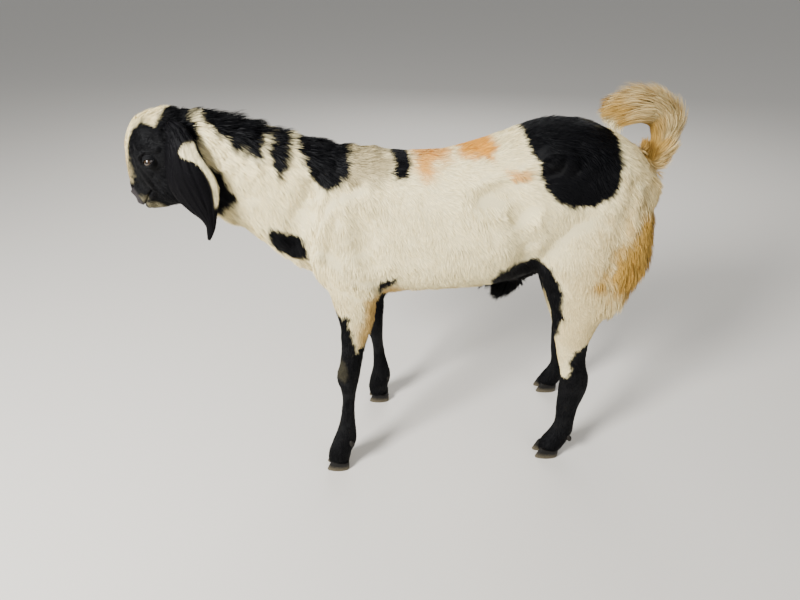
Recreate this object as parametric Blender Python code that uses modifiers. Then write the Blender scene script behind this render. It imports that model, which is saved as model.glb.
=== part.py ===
"""A still, life-size standing billy goat of a tall, lop-eared, polled breed, in metres, +Z up.

The goat faces -X with its left side towards -Y and its hooves on the plane z = 0. The side view is
given by ribs: each rib has a top point, a bottom point, a half width and the height at which it is
widest. Ribs are joined smoothly into tubes, the tubes are fused into one body, and thin cuts part
the body into its nodes.
"""
import math
import random

import bmesh
import bpy
import numpy as np
from mathutils import Matrix, Vector
from mathutils.bvhtree import BVHTree

# Driving sizes
SIDES = {"left": -1, "right": 1}
BODY_SHIFT = Vector((0.1434, 0.0061, 0.0))  # brings the middle of the whole outline to the origin
GAP = 0.0003  # air between two nodes that touch
RING_SIDES = 24
RIB_STEPS = 5  # rings between two ribs
BODY_VOXEL = 0.0065
BODY_SMOOTHING = 8

# Ribs: top x, top z, bottom x, bottom z, y of the middle, half width, widest at (0 bottom, 1 top)
TORSO_RIBS = (
    (-0.375, 0.665, -0.385, 0.600, 0.0, 0.020, 0.50),
    (-0.345, 0.735, -0.368, 0.535, 0.0, 0.066, 0.50),
    (-0.305, 0.822, -0.330, 0.490, 0.0, 0.098, 0.44),
    (-0.245, 0.822, -0.265, 0.468, 0.0, 0.116, 0.38),
    (-0.160, 0.810, -0.170, 0.474, 0.0, 0.136, 0.36),
    (-0.060, 0.811, -0.060, 0.478, 0.0, 0.152, 0.36),
    (0.040, 0.836, 0.045, 0.482, 0.0, 0.154, 0.39),
    (0.130, 0.866, 0.125, 0.494, 0.0, 0.140, 0.47),
    (0.215, 0.872, 0.195, 0.518, 0.0, 0.130, 0.55),
    (0.300, 0.848, 0.275, 0.549, 0.0, 0.122, 0.56),
    (0.365, 0.812, 0.345, 0.580, 0.0, 0.104, 0.52),
    (0.410, 0.768, 0.398, 0.625, 0.0, 0.074, 0.50),
    (0.432, 0.720, 0.428, 0.680, 0.0, 0.022, 0.50),
)
NECK_RIBS = (
    (-0.650, 0.862, -0.640, 0.750, 0.0, 0.034, 0.50),
    (-0.605, 0.902, -0.618, 0.700, 0.0, 0.054, 0.52),
    (-0.540, 0.896, -0.562, 0.672, 0.0, 0.060, 0.50),
    (-0.465, 0.876, -0.503, 0.630, 0.0, 0.067, 0.48),
    (-0.390, 0.852, -0.445, 0.577, 0.0, 0.078, 0.46),
    (-0.315, 0.832, -0.385, 0.528, 0.0, 0.090, 0.46),
    (-0.245, 0.806, -0.300, 0.520, 0.0, 0.080, 0.50),
)
HEAD_RIBS = (
    (-0.724, 0.711, -0.712, 0.700, 0.0, 0.011, 0.50),
    (-0.732, 0.725, -0.702, 0.695, 0.0, 0.022, 0.50),
    (-0.738, 0.748, -0.689, 0.694, 0.0, 0.028, 0.52),
    (-0.7385, 0.780, -0.674, 0.697, 0.0, 0.033, 0.54),
    (-0.7355, 0.815, -0.657, 0.700, 0.0, 0.038, 0.58),
    (-0.728, 0.850, -0.641, 0.703, 0.0, 0.045, 0.62),
    (-0.706, 0.885, -0.626, 0.708, 0.0, 0.050, 0.66),
    (-0.664, 0.904, -0.612, 0.716, 0.0, 0.051, 0.66),
    (-0.620, 0.907, -0.600, 0.740, 0.0, 0.048, 0.60),
    (-0.588, 0.888, -0.588, 0.780, 0.0, 0.030, 0.55),
)
# A leg's rib has its front point first, and its y and half width are for the left leg as it stands
FORELEG_RIBS = (
    (-0.335, 0.690, -0.200, 0.690, -0.062, 0.034, 0.50),
    (-0.352, 0.610, -0.195, 0.610, -0.076, 0.044, 0.50),
    (-0.345, 0.540, -0.205, 0.540, -0.088, 0.044, 0.50),
    (-0.324, 0.475, -0.220, 0.485, -0.098, 0.039, 0.50),
    (-0.312, 0.415, -0.240, 0.415, -0.107, 0.031, 0.50),
    (-0.314, 0.355, -0.254, 0.355, -0.113, 0.026, 0.50),
    (-0.323, 0.300, -0.263, 0.298, -0.117, 0.028, 0.50),
    (-0.324, 0.268, -0.270, 0.264, -0.119, 0.027, 0.50),
    (-0.318, 0.226, -0.278, 0.224, -0.122, 0.021, 0.50),
    (-0.324, 0.165, -0.283, 0.163, -0.127, 0.019, 0.50),
    (-0.336, 0.118, -0.281, 0.112, -0.131, 0.023, 0.50),
    (-0.347, 0.090, -0.283, 0.082, -0.134, 0.026, 0.50),
    (-0.356, 0.062, -0.297, 0.052, -0.136, 0.026, 0.50),
    (-0.362, 0.036, -0.302, 0.028, -0.137, 0.028, 0.50),
    (-0.362, 0.018, -0.306, 0.014, -0.138, 0.022, 0.50),
)
HINDLEG_RIBS = (
    (0.165, 0.770, 0.370, 0.750, -0.060, 0.040, 0.50),
    (0.140, 0.705, 0.404, 0.690, -0.070, 0.054, 0.50),
    (0.134, 0.635, 0.411, 0.630, -0.080, 0.060, 0.50),
    (0.143, 0.565, 0.404, 0.560, -0.089, 0.057, 0.50),
    (0.168, 0.500, 0.370, 0.490, -0.098, 0.049, 0.50),
    (0.190, 0.435, 0.330, 0.425, -0.106, 0.040, 0.50),
    (0.206, 0.370, 0.306, 0.357, -0.112, 0.032, 0.50),
    (0.223, 0.308, 0.299, 0.300, -0.117, 0.027, 0.50),
    (0.236, 0.262, 0.316, 0.246, -0.121, 0.027, 0.50),
    (0.236, 0.216, 0.317, 0.205, -0.124, 0.025, 0.50),
    (0.237, 0.160, 0.303, 0.152, -0.128, 0.020, 0.50),
    (0.240, 0.112, 0.297, 0.106, -0.132, 0.021, 0.50),
    (0.234, 0.086, 0.296, 0.078, -0.135, 0.024, 0.50),
    (0.219, 0.060, 0.285, 0.052, -0.138, 0.025, 0.50),
    (0.205, 0.036, 0.272, 0.030, -0.140, 0.026, 0.50),
    (0.203, 0.018, 0.262, 0.014, -0.141, 0.021, 0.50),
)
FORE_REACH = {"left": 0.0, "right": 0.122}  # how far back each forefoot is set
HIND_REACH = {"left": 0.0, "right": 0.078}
LEG_TOP = 0.55  # a leg starts to lean below this height
LEG_BEND = 0.75  # below one, the lean starts higher up the leg
FOREARM_BACK = {"left": 0.0, "right": 0.018}  # how much deeper the forearm is, seen from the side
FOREARM_MIDDLE = (0.450, 0.080)  # height and reach of that depth
RIGHT_LEG_Y = 0.88  # the right feet stand a little nearer the middle

TAIL_RIBS = (
    (0.392, 0.765, 0.422, 0.738, 0.0, 0.014, 0.50),
    (0.400, 0.792, 0.436, 0.775, 0.0, 0.016, 0.50),
    (0.402, 0.824, 0.442, 0.818, 0.0, 0.017, 0.50),
    (0.393, 0.846, 0.432, 0.862, 0.0, 0.017, 0.50),
    (0.370, 0.864, 0.400, 0.896, 0.0, 0.015, 0.50),
    (0.342, 0.878, 0.356, 0.910, 0.0, 0.012, 0.50),
    (0.315, 0.886, 0.320, 0.904, 0.0, 0.005, 0.50),
)
SHEATH_RIBS = (
    (0.225, 0.545, 0.215, 0.496, 0.0, 0.012, 0.50),
    (0.165, 0.522, 0.160, 0.474, 0.0, 0.015, 0.50),
    (0.115, 0.505, 0.110, 0.456, 0.0, 0.015, 0.50),
    (0.085, 0.482, 0.088, 0.450, 0.0, 0.009, 0.50),
)
SCROTUM_RIBS = (
    (0.285, 0.580, 0.325, 0.585, 0.0, 0.020, 0.50),
    (0.280, 0.520, 0.336, 0.520, 0.0, 0.027, 0.50),
    (0.276, 0.475, 0.342, 0.474, 0.0, 0.032, 0.50),
    (0.282, 0.435, 0.338, 0.434, 0.0, 0.030, 0.50),
    (0.298, 0.408, 0.324, 0.408, 0.0, 0.016, 0.50),
)

# Head
HEAD_VOXEL = 0.003
HEAD_SMOOTHING = 9
EYE_CENTRE = Vector((-0.6730, 0.0435, 0.8110))
EYE_RADIUS = 0.0135
EYE_SEGMENTS = 12
EYE_LOOK = Vector((-0.30, 0.95, 0.06))  # the way the left eye's mirror looks
LID_RADIUS = 0.0160
LID_OPENING = (0.0125, 0.0120, 0.0066)  # half the slit, how deep it cuts, half its height
LID_TILT = math.radians(24)
NOSTRIL = Vector((-0.7370, 0.0145, 0.7400))
NOSTRIL_RADII = (0.0035, 0.0050, 0.0080)
NOSTRIL_TILT = math.radians(20)
MOUTH_LINE = ((-0.6960, 0.7420), (-0.7030, 0.7300), (-0.7090, 0.7180), (-0.7140, 0.7080))
MOUTH_FRONT = Vector((-0.7180, 0.0, 0.7000))
MOUTH_DEPTH = 0.0014
# Swellings fused with the head: name, centre of the left one's mirror, radii
SWELLINGS = (
    ("brow", (-0.678, 0.0400, 0.825), (0.0280, 0.0160, 0.0190)),
    ("cheek", (-0.642, 0.0260, 0.755), (0.046, 0.022, 0.044)),
    ("nostril_wing", (-0.7290, 0.0140, 0.738), (0.0095, 0.0110, 0.0140)),
    ("upper_lip", (-0.7190, 0.0130, 0.716), (0.0140, 0.0120, 0.0110)),
    ("chin", (-0.7000, 0.0080, 0.703), (0.0150, 0.0120, 0.0100)),
    ("ear_root", (-0.629, 0.0420, 0.868), (0.024, 0.018, 0.020)),
)

# Ear rows: x, distance from the middle plane, z, half width, cup, thickness
EAR_ROWS = (
    (-0.628, 0.046, 0.882, 0.016, 0.004, 0.0110),
    (-0.618, 0.062, 0.870, 0.025, 0.008, 0.0095),
    (-0.601, 0.078, 0.848, 0.038, 0.012, 0.0062),
    (-0.589, 0.087, 0.818, 0.049, 0.015, 0.0044),
    (-0.586, 0.092, 0.788, 0.058, 0.017, 0.0040),
    (-0.579, 0.093, 0.758, 0.053, 0.015, 0.0038),
    (-0.571, 0.092, 0.728, 0.038, 0.010, 0.0038),
    (-0.566, 0.090, 0.703, 0.022, 0.006, 0.0038),
    (-0.566, 0.088, 0.682, 0.012, 0.003, 0.0038),
    (-0.571, 0.085, 0.664, 0.007, 0.001, 0.0036),
    (-0.577, 0.082, 0.649, 0.003, 0.000, 0.0028),
)
EAR_ACROSS = 7  # points over the ear's width on each face
EAR_STEPS = 2
EAR_RIDGE = 0.0009
EAR_RIDGES = 4
EAR_FACE = Vector((-0.18, 1.0, 0.22))  # the way the back of the left ear's mirror faces

# Feet: two claws each; the toe and heel are at the floor
TOE_X = {"fore": -0.366, "hind": 0.194}
HEEL_X = {"fore": -0.307, "hind": 0.256}
FOOT_Y = {"fore": 0.1375, "hind": 0.1405}
CORONET_FRONT = 0.034  # height of the hoof at the toe side
CORONET_HEEL = 0.024
CLAW_WIDTH = 0.026
CLAW_SPREAD = 0.0145  # from the middle of the foot to the middle of a claw
TOE_LEAN = 0.014  # how far the front wall runs back on its way up
CLAW_SIDES = 12
HOOF_HALF_LENGTH = 0.030
DEWCLAW_RADII = (0.0075, 0.0062, 0.0120)
DEWCLAW_HEIGHT = {"fore": 0.088, "hind": 0.062}
DEWCLAW_BACK = {"fore": 0.012, "hind": 0.027}  # behind the heel

# Swellings fused with the body: centre of the left one, radii, turn about Y
BULGES = {
    "shoulder": ((-0.275, -0.080, 0.640), (0.080, 0.038, 0.120), 0.35),
    "upper_arm": ((-0.300, -0.082, 0.575), (0.068, 0.036, 0.075), -0.5),
    "haunch": ((0.275, -0.085, 0.690), (0.105, 0.046, 0.110), -0.30),
    "seat_bone": ((0.392, -0.048, 0.735), (0.026, 0.020, 0.022), 0.0),
    "belly": ((-0.010, -0.070, 0.602), (0.170, 0.080, 0.098), 0.0),
}

# Thin cuts: two points of the side view (x, z), or for a leg of the front view (y, z)
HEAD_CUT = ((-0.588, 0.920), (-0.618, 0.670))
NECK_CUT = ((-0.305, 0.860), (-0.405, 0.500))
FORELEG_CUT = {
    "inner": (0.040, 0.430), "outer": (0.170, 0.553),
    "front": ((-0.375, 0.600), (-0.375, 0.0)), "rear": ((-0.195, 0.560), (-0.060, 0.0)),
}
HINDLEG_CUT = {
    "inner": (0.020, 0.515), "outer": (0.150, 0.700),
    "front": ((0.140, 0.720), (0.150, 0.000)), "rear": ((0.60, 0.720), (0.60, 0.0)),
}
TAIL_CUT = (0.395, 0.790)
TAIL_CUT_SLOPE = -0.258
# How far the cut regions reach: ahead, behind, up, below the floor and out from the middle
CUT_AHEAD = -0.95
CUT_BEHIND = 0.60
CUT_TOP = 1.10
CUT_FLOOR = -0.05
CUT_OUT = 0.26
NECK_CUT_LOW = 0.40
FOOT_CUT_MARGIN = 0.05

BODY_TRIANGLES = 3100
HEAD_TRIANGLES = 1150

# Locks of long hair
LOCK_POINTS = 5
LOCK_ROOT = 0.006  # how deep a lock's root is sunk
LOCK_THICKNESS = 0.0042
LOCK_LEAVE = 0.8  # under 1 the lock leaves the surface early
LOCK_SOLVER = "MANIFOLD"
LOCK_SEED = 7
LIE_SPREAD = 2.0  # how much the lie turns outwards with the distance from the middle plane
MANE_MIDDLE = 0.595  # the height of the neck's middle line at x = 0, and how it falls towards +X
MANE_FALL = 0.345
RAY_START = 0.4  # how far outside the neck its rays start
RAY_MIDDLE = 0.6  # height of the middle of the upright rays, which start that far from it
RAY_BEHIND = 0.8  # x from which the rays from behind start
TAIL_PATH = (
    (0.408, 0.748), (0.418, 0.785), (0.426, 0.822), (0.420, 0.858), (0.396, 0.886), (0.358, 0.901),
    (0.318, 0.905), (0.280, 0.897),
)
TAIL_LOCK_STARTS = (0.028, 0.165)
TAIL_LOCK_ROWS = 4
TAIL_LOCKS_ROUND = 6
TAIL_LOCK_REACH = 0.110
TAIL_LOCK_WIDTH = 0.034
TAIL_LOCK_THICKNESS = 0.007
TAIL_CORE = 0.010
TAIL_SPREAD_IN = (0.034, 0.050)  # towards the inside of the curl, at the dock and at the end
TAIL_SPREAD_OUT = (0.030, 0.012)

COLOURS = {  # base colour, roughness
    "coat_cream": ((0.74, 0.69, 0.57), 0.85),
    "coat_black": ((0.020, 0.019, 0.022), 0.75),
    "coat_golden": ((0.62, 0.40, 0.16), 0.85),
    "hoof_horn": ((0.42, 0.37, 0.29), 0.55),
    "eye_amber": ((0.28, 0.15, 0.05), 0.10),
    "bare_skin": ((0.10, 0.075, 0.075), 0.70),
}

NODE_MATERIALS = {
    "head": "coat_black", "ear": "coat_black", "eye": "eye_amber", "hoof": "hoof_horn",
    "foreleg": "coat_black", "hindleg": "coat_black", "tail": "coat_golden", "scrotum": "bare_skin",
}


def clear_scene():
    for old in list(bpy.data.objects):
        bpy.data.objects.remove(old)


def make_materials():
    """One Principled material for each finish."""
    made = {}
    for name, (colour, roughness) in COLOURS.items():
        material = bpy.data.materials.new(name)
        material.use_nodes = True
        shader = material.node_tree.nodes["Principled BSDF"]
        shader.inputs["Base Color"].default_value = (*colour, 1.0)
        shader.inputs["Roughness"].default_value = roughness
        shader.inputs["Metallic"].default_value = 0.0
        made[name] = material
    return made


def add_object(name, mesh, collection):
    made = bpy.data.objects.new(name, mesh)
    collection.objects.link(made)
    return made


def drop(*objects):
    for old in objects:
        bpy.data.objects.remove(old)


def between_rows(rows, steps):
    """Rows joined by a Catmull-Rom curve with steps places between each two."""
    rows = np.array(rows, float)
    ends = np.vstack([2 * rows[0] - rows[1], rows, 2 * rows[-1] - rows[-2]])
    made = []
    for first in range(len(rows) - 1):
        a, b, c, d = ends[first:first + 4]
        for t in np.arange(steps) / steps:
            made.append(
                0.5 * (2 * b + (c - a) * t + (2 * a - 5 * b + 4 * c - d) * t**2
                       + (3 * b - a - 3 * c + d) * t**3)
            )
    made.append(rows[-1])
    return made


def rib_ring(rib, sides):
    """The points of one rib: an oval between its top and bottom points."""
    top_x, top_z, low_x, low_z, y, half_width, widest = rib
    top = np.array((top_x, y, top_z))
    low = np.array((low_x, y, low_z))
    middle = low + (top - low) * widest
    points = []
    for turn in np.arange(sides) * 2 * math.pi / sides:
        rise = math.cos(turn)
        share = (1 - widest) if rise > 0 else widest
        points.append(middle + (top - low) * share * rise + np.array((0, half_width * math.sin(turn), 0)))
    return points


def loft(name, rings, collection):
    """A closed skin over rings of equally many points, with a flat cap at each end."""
    shape = bmesh.new()
    rows = [[shape.verts.new(point) for point in ring] for ring in rings]
    sides = len(rows[0])
    for low, high in zip(rows, rows[1:]):
        for side in range(sides):
            after = (side + 1) % sides
            shape.faces.new((low[side], low[after], high[after], high[side]))
    shape.faces.new(rows[0])
    shape.faces.new(rows[-1])
    bmesh.ops.triangulate(shape, faces=[f for f in shape.faces if len(f.verts) > 4])
    bmesh.ops.recalc_face_normals(shape, faces=shape.faces)
    mesh = bpy.data.meshes.new(name)
    shape.to_mesh(mesh)
    shape.free()
    return add_object(name, mesh, collection)


def tube(name, ribs, collection, sides=RING_SIDES, steps=RIB_STEPS):
    return loft(name, [rib_ring(rib, sides) for rib in between_rows(ribs, steps)], collection)


def ellipsoid(name, centre, radii, collection, tilt=0.0, segments=20, rings=12):
    """An ellipsoid, turned by tilt about Y."""
    mesh = bpy.data.meshes.new(name)
    shape = bmesh.new()
    place = Matrix.Translation(centre) @ Matrix.Rotation(tilt, 4, "Y") @ Matrix.Diagonal((*radii, 1.0))
    bmesh.ops.create_uvsphere(shape, u_segments=segments, v_segments=rings, radius=1.0, matrix=place)
    bmesh.ops.recalc_face_normals(shape, faces=shape.faces)
    shape.to_mesh(mesh)
    shape.free()
    return add_object(name, mesh, collection)


def hull(name, corners, collection, grow=0.0):
    """The solid between corners, with each face moved out by grow."""
    shape = bmesh.new()
    for corner in corners:
        shape.verts.new(corner)
    made = bmesh.ops.convex_hull(shape, input=shape.verts)
    bmesh.ops.delete(shape, geom=made["geom_interior"], context="VERTS")
    bmesh.ops.dissolve_limit(shape, angle_limit=0.001, verts=shape.verts, edges=shape.edges)
    bmesh.ops.recalc_face_normals(shape, faces=shape.faces)
    shape.normal_update()
    moves = [(vert, vert.normal * grow * vert.calc_shell_factor()) for vert in shape.verts]
    for vert, move in moves:
        vert.co += move
    mesh = bpy.data.meshes.new(name)
    shape.to_mesh(mesh)
    shape.free()
    return add_object(name, mesh, collection)


def apply_modifiers(target):
    """Replaces the object's mesh by its evaluated one."""
    bpy.context.view_layer.update()
    graph = bpy.context.evaluated_depsgraph_get()
    mesh = bpy.data.meshes.new_from_object(target.evaluated_get(graph))
    mesh.transform(target.matrix_world)
    target.modifiers.clear()
    target.data = mesh
    target.matrix_world = Matrix.Identity(4)
    return target


def copy_of(source, name, collection):
    return add_object(name, source.data.copy(), collection)


def boolean(target, other, operation, solver="EXACT"):
    """Applies one Boolean with another object."""
    step = target.modifiers.new(operation.lower(), "BOOLEAN")
    step.operation = operation
    step.object = other
    step.solver = solver
    return apply_modifiers(target)


def fuse(name, pieces, collection, voxel, smoothing):
    """One closed surface round all the pieces, with their joins softened."""
    bulk = bmesh.new()
    for piece in pieces:
        bulk.from_mesh(piece.data)
    mesh = bpy.data.meshes.new(name)
    bulk.to_mesh(mesh)
    bulk.free()
    drop(*pieces)
    made = add_object(name, mesh, collection)
    remesh = made.modifiers.new("remesh", "REMESH")
    remesh.mode = "VOXEL"
    remesh.voxel_size = voxel
    soften = made.modifiers.new("soften", "SMOOTH")
    soften.factor = 0.5
    soften.iterations = smoothing
    return apply_modifiers(made)


def thin_out(target, triangles):
    """Decimates a closed mesh to about that many triangles."""
    target.data.calc_loop_triangles()
    share = triangles / len(target.data.loop_triangles)
    if share < 1:
        decimate = target.modifiers.new("decimate", "DECIMATE")
        decimate.ratio = share
        apply_modifiers(target)
    return target


def keep_largest(target):
    """Drops every closed surface of the mesh but the largest."""
    shape = bmesh.new()
    shape.from_mesh(target.data)
    left = set(shape.verts)
    islands = []
    while left:
        island = {left.pop()}
        edge = list(island)
        while edge:
            found = {e.other_vert(v) for v in edge for e in v.link_edges} - island
            island |= found
            edge = list(found)
        left -= island
        islands.append(island)
    islands.sort(key=len, reverse=True)
    for island in islands[1:]:
        bmesh.ops.delete(shape, geom=list(island), context="VERTS")
    shape.to_mesh(target.data)
    shape.free()
    return target


def grown(source, name, collection, by=GAP):
    """A copy of a node moved outwards by the gap, to cut its neighbours with."""
    made = copy_of(source, name, collection)
    shape = bmesh.new()
    shape.from_mesh(made.data)
    shape.normal_update()
    moves = [(vert, vert.normal * by * min(vert.calc_shell_factor(), 2.0)) for vert in shape.verts]
    for vert, move in moves:
        vert.co += move
    shape.to_mesh(made.data)
    shape.free()
    return made


def leg_ribs(ribs, side, reach):
    """The ribs of one leg, leaning back from the left leg's by its reach at the floor."""
    made = []
    for front_x, front_z, rear_x, rear_z, y, half_width, widest in ribs:
        lean = max(0.0, 1.0 - 0.5 * (front_z + rear_z) / LEG_TOP) ** LEG_BEND
        away = y if side == "left" else -y * (1.0 - (1.0 - RIGHT_LEG_Y) * lean)
        if ribs is FORELEG_RIBS:
            middle, fade = FOREARM_MIDDLE
            rear_x += FOREARM_BACK[side] * math.exp(-((rear_z - middle) / fade) ** 2)
        shift = reach[side] * lean
        made.append((front_x + shift, front_z, rear_x + shift, rear_z, away, half_width, widest))
    return made


def foot_y(leg, side):
    return -FOOT_Y[leg] if side == "left" else FOOT_Y[leg] * RIGHT_LEG_Y


def whole_body(work):
    """Torso, neck, legs and dock as one surface."""
    pieces = [
        tube("torso", TORSO_RIBS, work),
        tube("neck", NECK_RIBS, work),
        tube("sheath", SHEATH_RIBS, work),
        tube("dock", TAIL_RIBS[:3], work),
    ]
    for side, sign in SIDES.items():
        for leg, ribs, reach in (("fore", FORELEG_RIBS, FORE_REACH), ("hind", HINDLEG_RIBS, HIND_REACH)):
            pieces.append(tube(leg, leg_ribs(ribs, side, reach), work))
        for name, (centre, radii, tilt) in BULGES.items():
            place = (centre[0], sign * abs(centre[1]), centre[2])
            pieces.append(ellipsoid(name, place, radii, work, tilt))
    body = fuse("body", pieces, work, BODY_VOXEL, BODY_SMOOTHING)
    return thin_out(body, BODY_TRIANGLES)


def across(outline, half_width=0.30):
    """The corners of a slab: an outline in the side view, spread over both sides."""
    return [(x, y, z) for x, z in outline for y in (-half_width, half_width)]


def line_x(z, upper, lower):
    """Where the straight line through two points of the side view is at that height."""
    return lower[0] + (upper[0] - lower[0]) * (z - lower[1]) / (upper[1] - lower[1])


def region_ahead(upper, lower):
    """Everything in front of a cut that leans in the side view."""
    cut = [(line_x(z, upper, lower), z) for z in (NECK_CUT_LOW, CUT_TOP)]
    return across([*cut, (CUT_AHEAD, NECK_CUT_LOW), (CUT_AHEAD, CUT_TOP)])


def leg_region(sign, inner, outer, front, rear):
    """Everything below a cut that rises outwards, given by two points (y, z) of the front view."""
    rise = (outer[1] - inner[1]) / (outer[0] - inner[0])
    corners = []
    for y in (inner[0], CUT_OUT):
        top_z = inner[1] + (y - inner[0]) * rise
        for z in (CUT_FLOOR, top_z):
            corners.append((line_x(z, *front), sign * y, z))
            corners.append((line_x(z, *rear), sign * y, z))
    return corners


def tail_region():
    x, z = TAIL_CUT
    far_z = z + (CUT_BEHIND - x) * TAIL_CUT_SLOPE
    return across([(x, z), (CUT_BEHIND, far_z), (CUT_BEHIND, CUT_TOP), (x, CUT_TOP)])


def foot_region(leg, side):
    """Everything below the coronet of one foot."""
    shift = (FORE_REACH if leg == "fore" else HIND_REACH)[side]
    front, heel = TOE_X[leg] + shift, HEEL_X[leg] + shift
    slope = (CORONET_HEEL - CORONET_FRONT) / (heel - front)
    outline = []
    for x in (front - FOOT_CUT_MARGIN, heel + FOOT_CUT_MARGIN):
        outline += [(x, CORONET_FRONT + (x - front) * slope), (x, CUT_FLOOR)]
    y = foot_y(leg, side)
    return [(x, y + off, z) for x, z in outline for off in (-FOOT_CUT_MARGIN, FOOT_CUT_MARGIN)]


def cut_away(target, corners, work):
    cutter = hull("cutter", corners, work, grow=GAP)
    boolean(target, cutter, "DIFFERENCE")
    drop(cutter)


def cut_out(body, name, corners, work):
    """The part of the body inside a region, as an object of its own."""
    cutter = hull("cutter", corners, work)
    piece = copy_of(body, name, work)
    boolean(piece, cutter, "INTERSECT")
    drop(cutter)
    return keep_largest(piece)


def add_dewclaws(target, leg, side, work):
    """The two small claws behind the fetlock."""
    reach = (FORE_REACH if leg == "fore" else HIND_REACH)[side]
    for out in (-CLAW_SPREAD, CLAW_SPREAD):
        place = (HEEL_X[leg] + reach * 0.88 + DEWCLAW_BACK[leg], foot_y(leg, side) + out,
                 DEWCLAW_HEIGHT[leg])
        dewclaw = ellipsoid("dewclaw", place, DEWCLAW_RADII, work, tilt=-0.35, segments=7, rings=5)
        boolean(target, dewclaw, "UNION")
        drop(dewclaw)


def part_body(body, work):
    """Parts the whole body into torso, neck and legs by thin cuts."""
    nodes = {}
    ahead = region_ahead(*NECK_CUT)
    nodes["neck"] = cut_out(body, "neck", ahead, work)
    cut_away(nodes["neck"], region_ahead(*HEAD_CUT), work)
    regions = {}
    for side, sign in SIDES.items():
        regions[f"foreleg_{side}"] = leg_region(sign, **FORELEG_CUT)
        regions[f"hindleg_{side}"] = leg_region(sign, **HINDLEG_CUT)
    for name, region in regions.items():
        nodes[name] = cut_out(body, name, region, work)
        leg = "fore" if name.startswith("fore") else "hind"
        side = name.split("_")[1]
        cut_away(nodes[name], foot_region(leg, side), work)
        add_dewclaws(nodes[name], leg, side, work)
    nodes["tail"] = cut_out(body, "tail", tail_region(), work)
    torso = copy_of(body, "torso", work)
    for region in (ahead, *regions.values(), tail_region()):
        cut_away(torso, region, work)
    nodes["torso"] = keep_largest(torso)
    drop(body)
    return nodes


def clear_of(target, neighbours, work, solver="EXACT"):
    """Cuts a node clear of its neighbours."""
    for neighbour in neighbours:
        cutter = grown(neighbour, "cutter", work)
        boolean(target, cutter, "DIFFERENCE", solver)
        drop(cutter)
    return keep_largest(target)


def groove(points, radius, work):
    """A thin tube through points, to cut a line with."""
    curve = bpy.data.curves.new("groove", "CURVE")
    curve.dimensions = "3D"
    curve.bevel_depth = radius
    curve.bevel_resolution = 0
    curve.use_fill_caps = True
    line = curve.splines.new("POLY")
    line.points.add(len(points) - 1)
    for place, point in zip(line.points, points):
        place.co = (*point, 1.0)
    guide = add_object("groove_line", curve, work)
    bpy.context.view_layer.update()
    mesh = bpy.data.meshes.new_from_object(guide.evaluated_get(bpy.context.evaluated_depsgraph_get()))
    shape = bmesh.new()
    shape.from_mesh(mesh)
    bmesh.ops.remove_doubles(shape, verts=shape.verts, dist=0.00001)
    bmesh.ops.recalc_face_normals(shape, faces=shape.faces)
    shape.to_mesh(mesh)
    shape.free()
    drop(guide)
    return add_object("groove", mesh, work)


def side_point(tree, x, z, sign):
    """The point of a surface that is met first from the side."""
    return tree.ray_cast(Vector((x, sign * 0.3, z)), Vector((0.0, -sign, 0.0)))[0]


def eye_frame(sign):
    """Place and turn of one eye: X along the slit, Y out of the head."""
    centre = Vector((EYE_CENTRE.x, sign * EYE_CENTRE.y, EYE_CENTRE.z))
    out = Vector((EYE_LOOK.x, sign * EYE_LOOK.y, EYE_LOOK.z)).normalized()
    slit = Vector((math.cos(LID_TILT), 0.0, math.sin(LID_TILT)))
    slit = (slit - out * slit.dot(out)).normalized()
    turn = Matrix((slit, out, slit.cross(out))).transposed().to_4x4()
    return centre, out, turn


def ball(name, centre, radius, work, turn=None, radii=(1.0, 1.0, 1.0), segments=14):
    mesh = bpy.data.meshes.new(name)
    shape = bmesh.new()
    place = Matrix.Translation(centre) @ (turn or Matrix.Identity(4)) @ Matrix.Diagonal((*radii, 1.0))
    bmesh.ops.create_uvsphere(shape, u_segments=segments, v_segments=segments // 2, radius=radius,
                              matrix=place)
    bmesh.ops.recalc_face_normals(shape, faces=shape.faces)
    shape.to_mesh(mesh)
    shape.free()
    return add_object(name, mesh, work)


def make_head(work):
    """The head with its lids, eye sockets, nostrils and mouth, and its form before those."""
    pieces = [tube("head", HEAD_RIBS, work), tube("nape", NECK_RIBS[:3], work)]
    for sign in SIDES.values():
        for name, centre, radii in SWELLINGS:
            place = (centre[0], sign * centre[1], centre[2])
            pieces.append(ellipsoid(name, place, radii, work))
    head = fuse("head", pieces, work, HEAD_VOXEL, HEAD_SMOOTHING)
    thin_out(head, HEAD_TRIANGLES)
    cutter = hull("cutter", region_ahead(*HEAD_CUT), work)
    boolean(head, cutter, "INTERSECT")
    drop(cutter)
    form = copy_of(head, "head_form", work)
    tree = BVHTree.FromObject(head, bpy.context.evaluated_depsgraph_get())
    left = [side_point(tree, x, z, SIDES["left"]) for x, z in MOUTH_LINE]
    right = [Vector((point.x, -point.y, point.z)) for point in reversed(left)]
    mouth = groove([*left, MOUTH_FRONT, *right], MOUTH_DEPTH, work)
    boolean(head, mouth, "DIFFERENCE")
    drop(mouth)
    for sign in SIDES.values():
        centre, out, turn = eye_frame(sign)
        lids = ball("lids", centre, LID_RADIUS, work)
        boolean(head, lids, "UNION")
        opening = ball("opening", centre + out * LID_RADIUS, 1.0, work, turn, LID_OPENING)
        boolean(head, opening, "DIFFERENCE")
        socket = ball("socket", centre, EYE_RADIUS + GAP, work, segments=EYE_SEGMENTS)
        boolean(head, socket, "DIFFERENCE")
        nostril = ball("nostril", (NOSTRIL.x, sign * NOSTRIL.y, NOSTRIL.z), 1.0, work,
                       Matrix.Rotation(NOSTRIL_TILT, 4, "Y"), NOSTRIL_RADII, segments=12)
        boolean(head, nostril, "DIFFERENCE")
        drop(lids, opening, socket, nostril)
    return keep_largest(head), form


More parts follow.
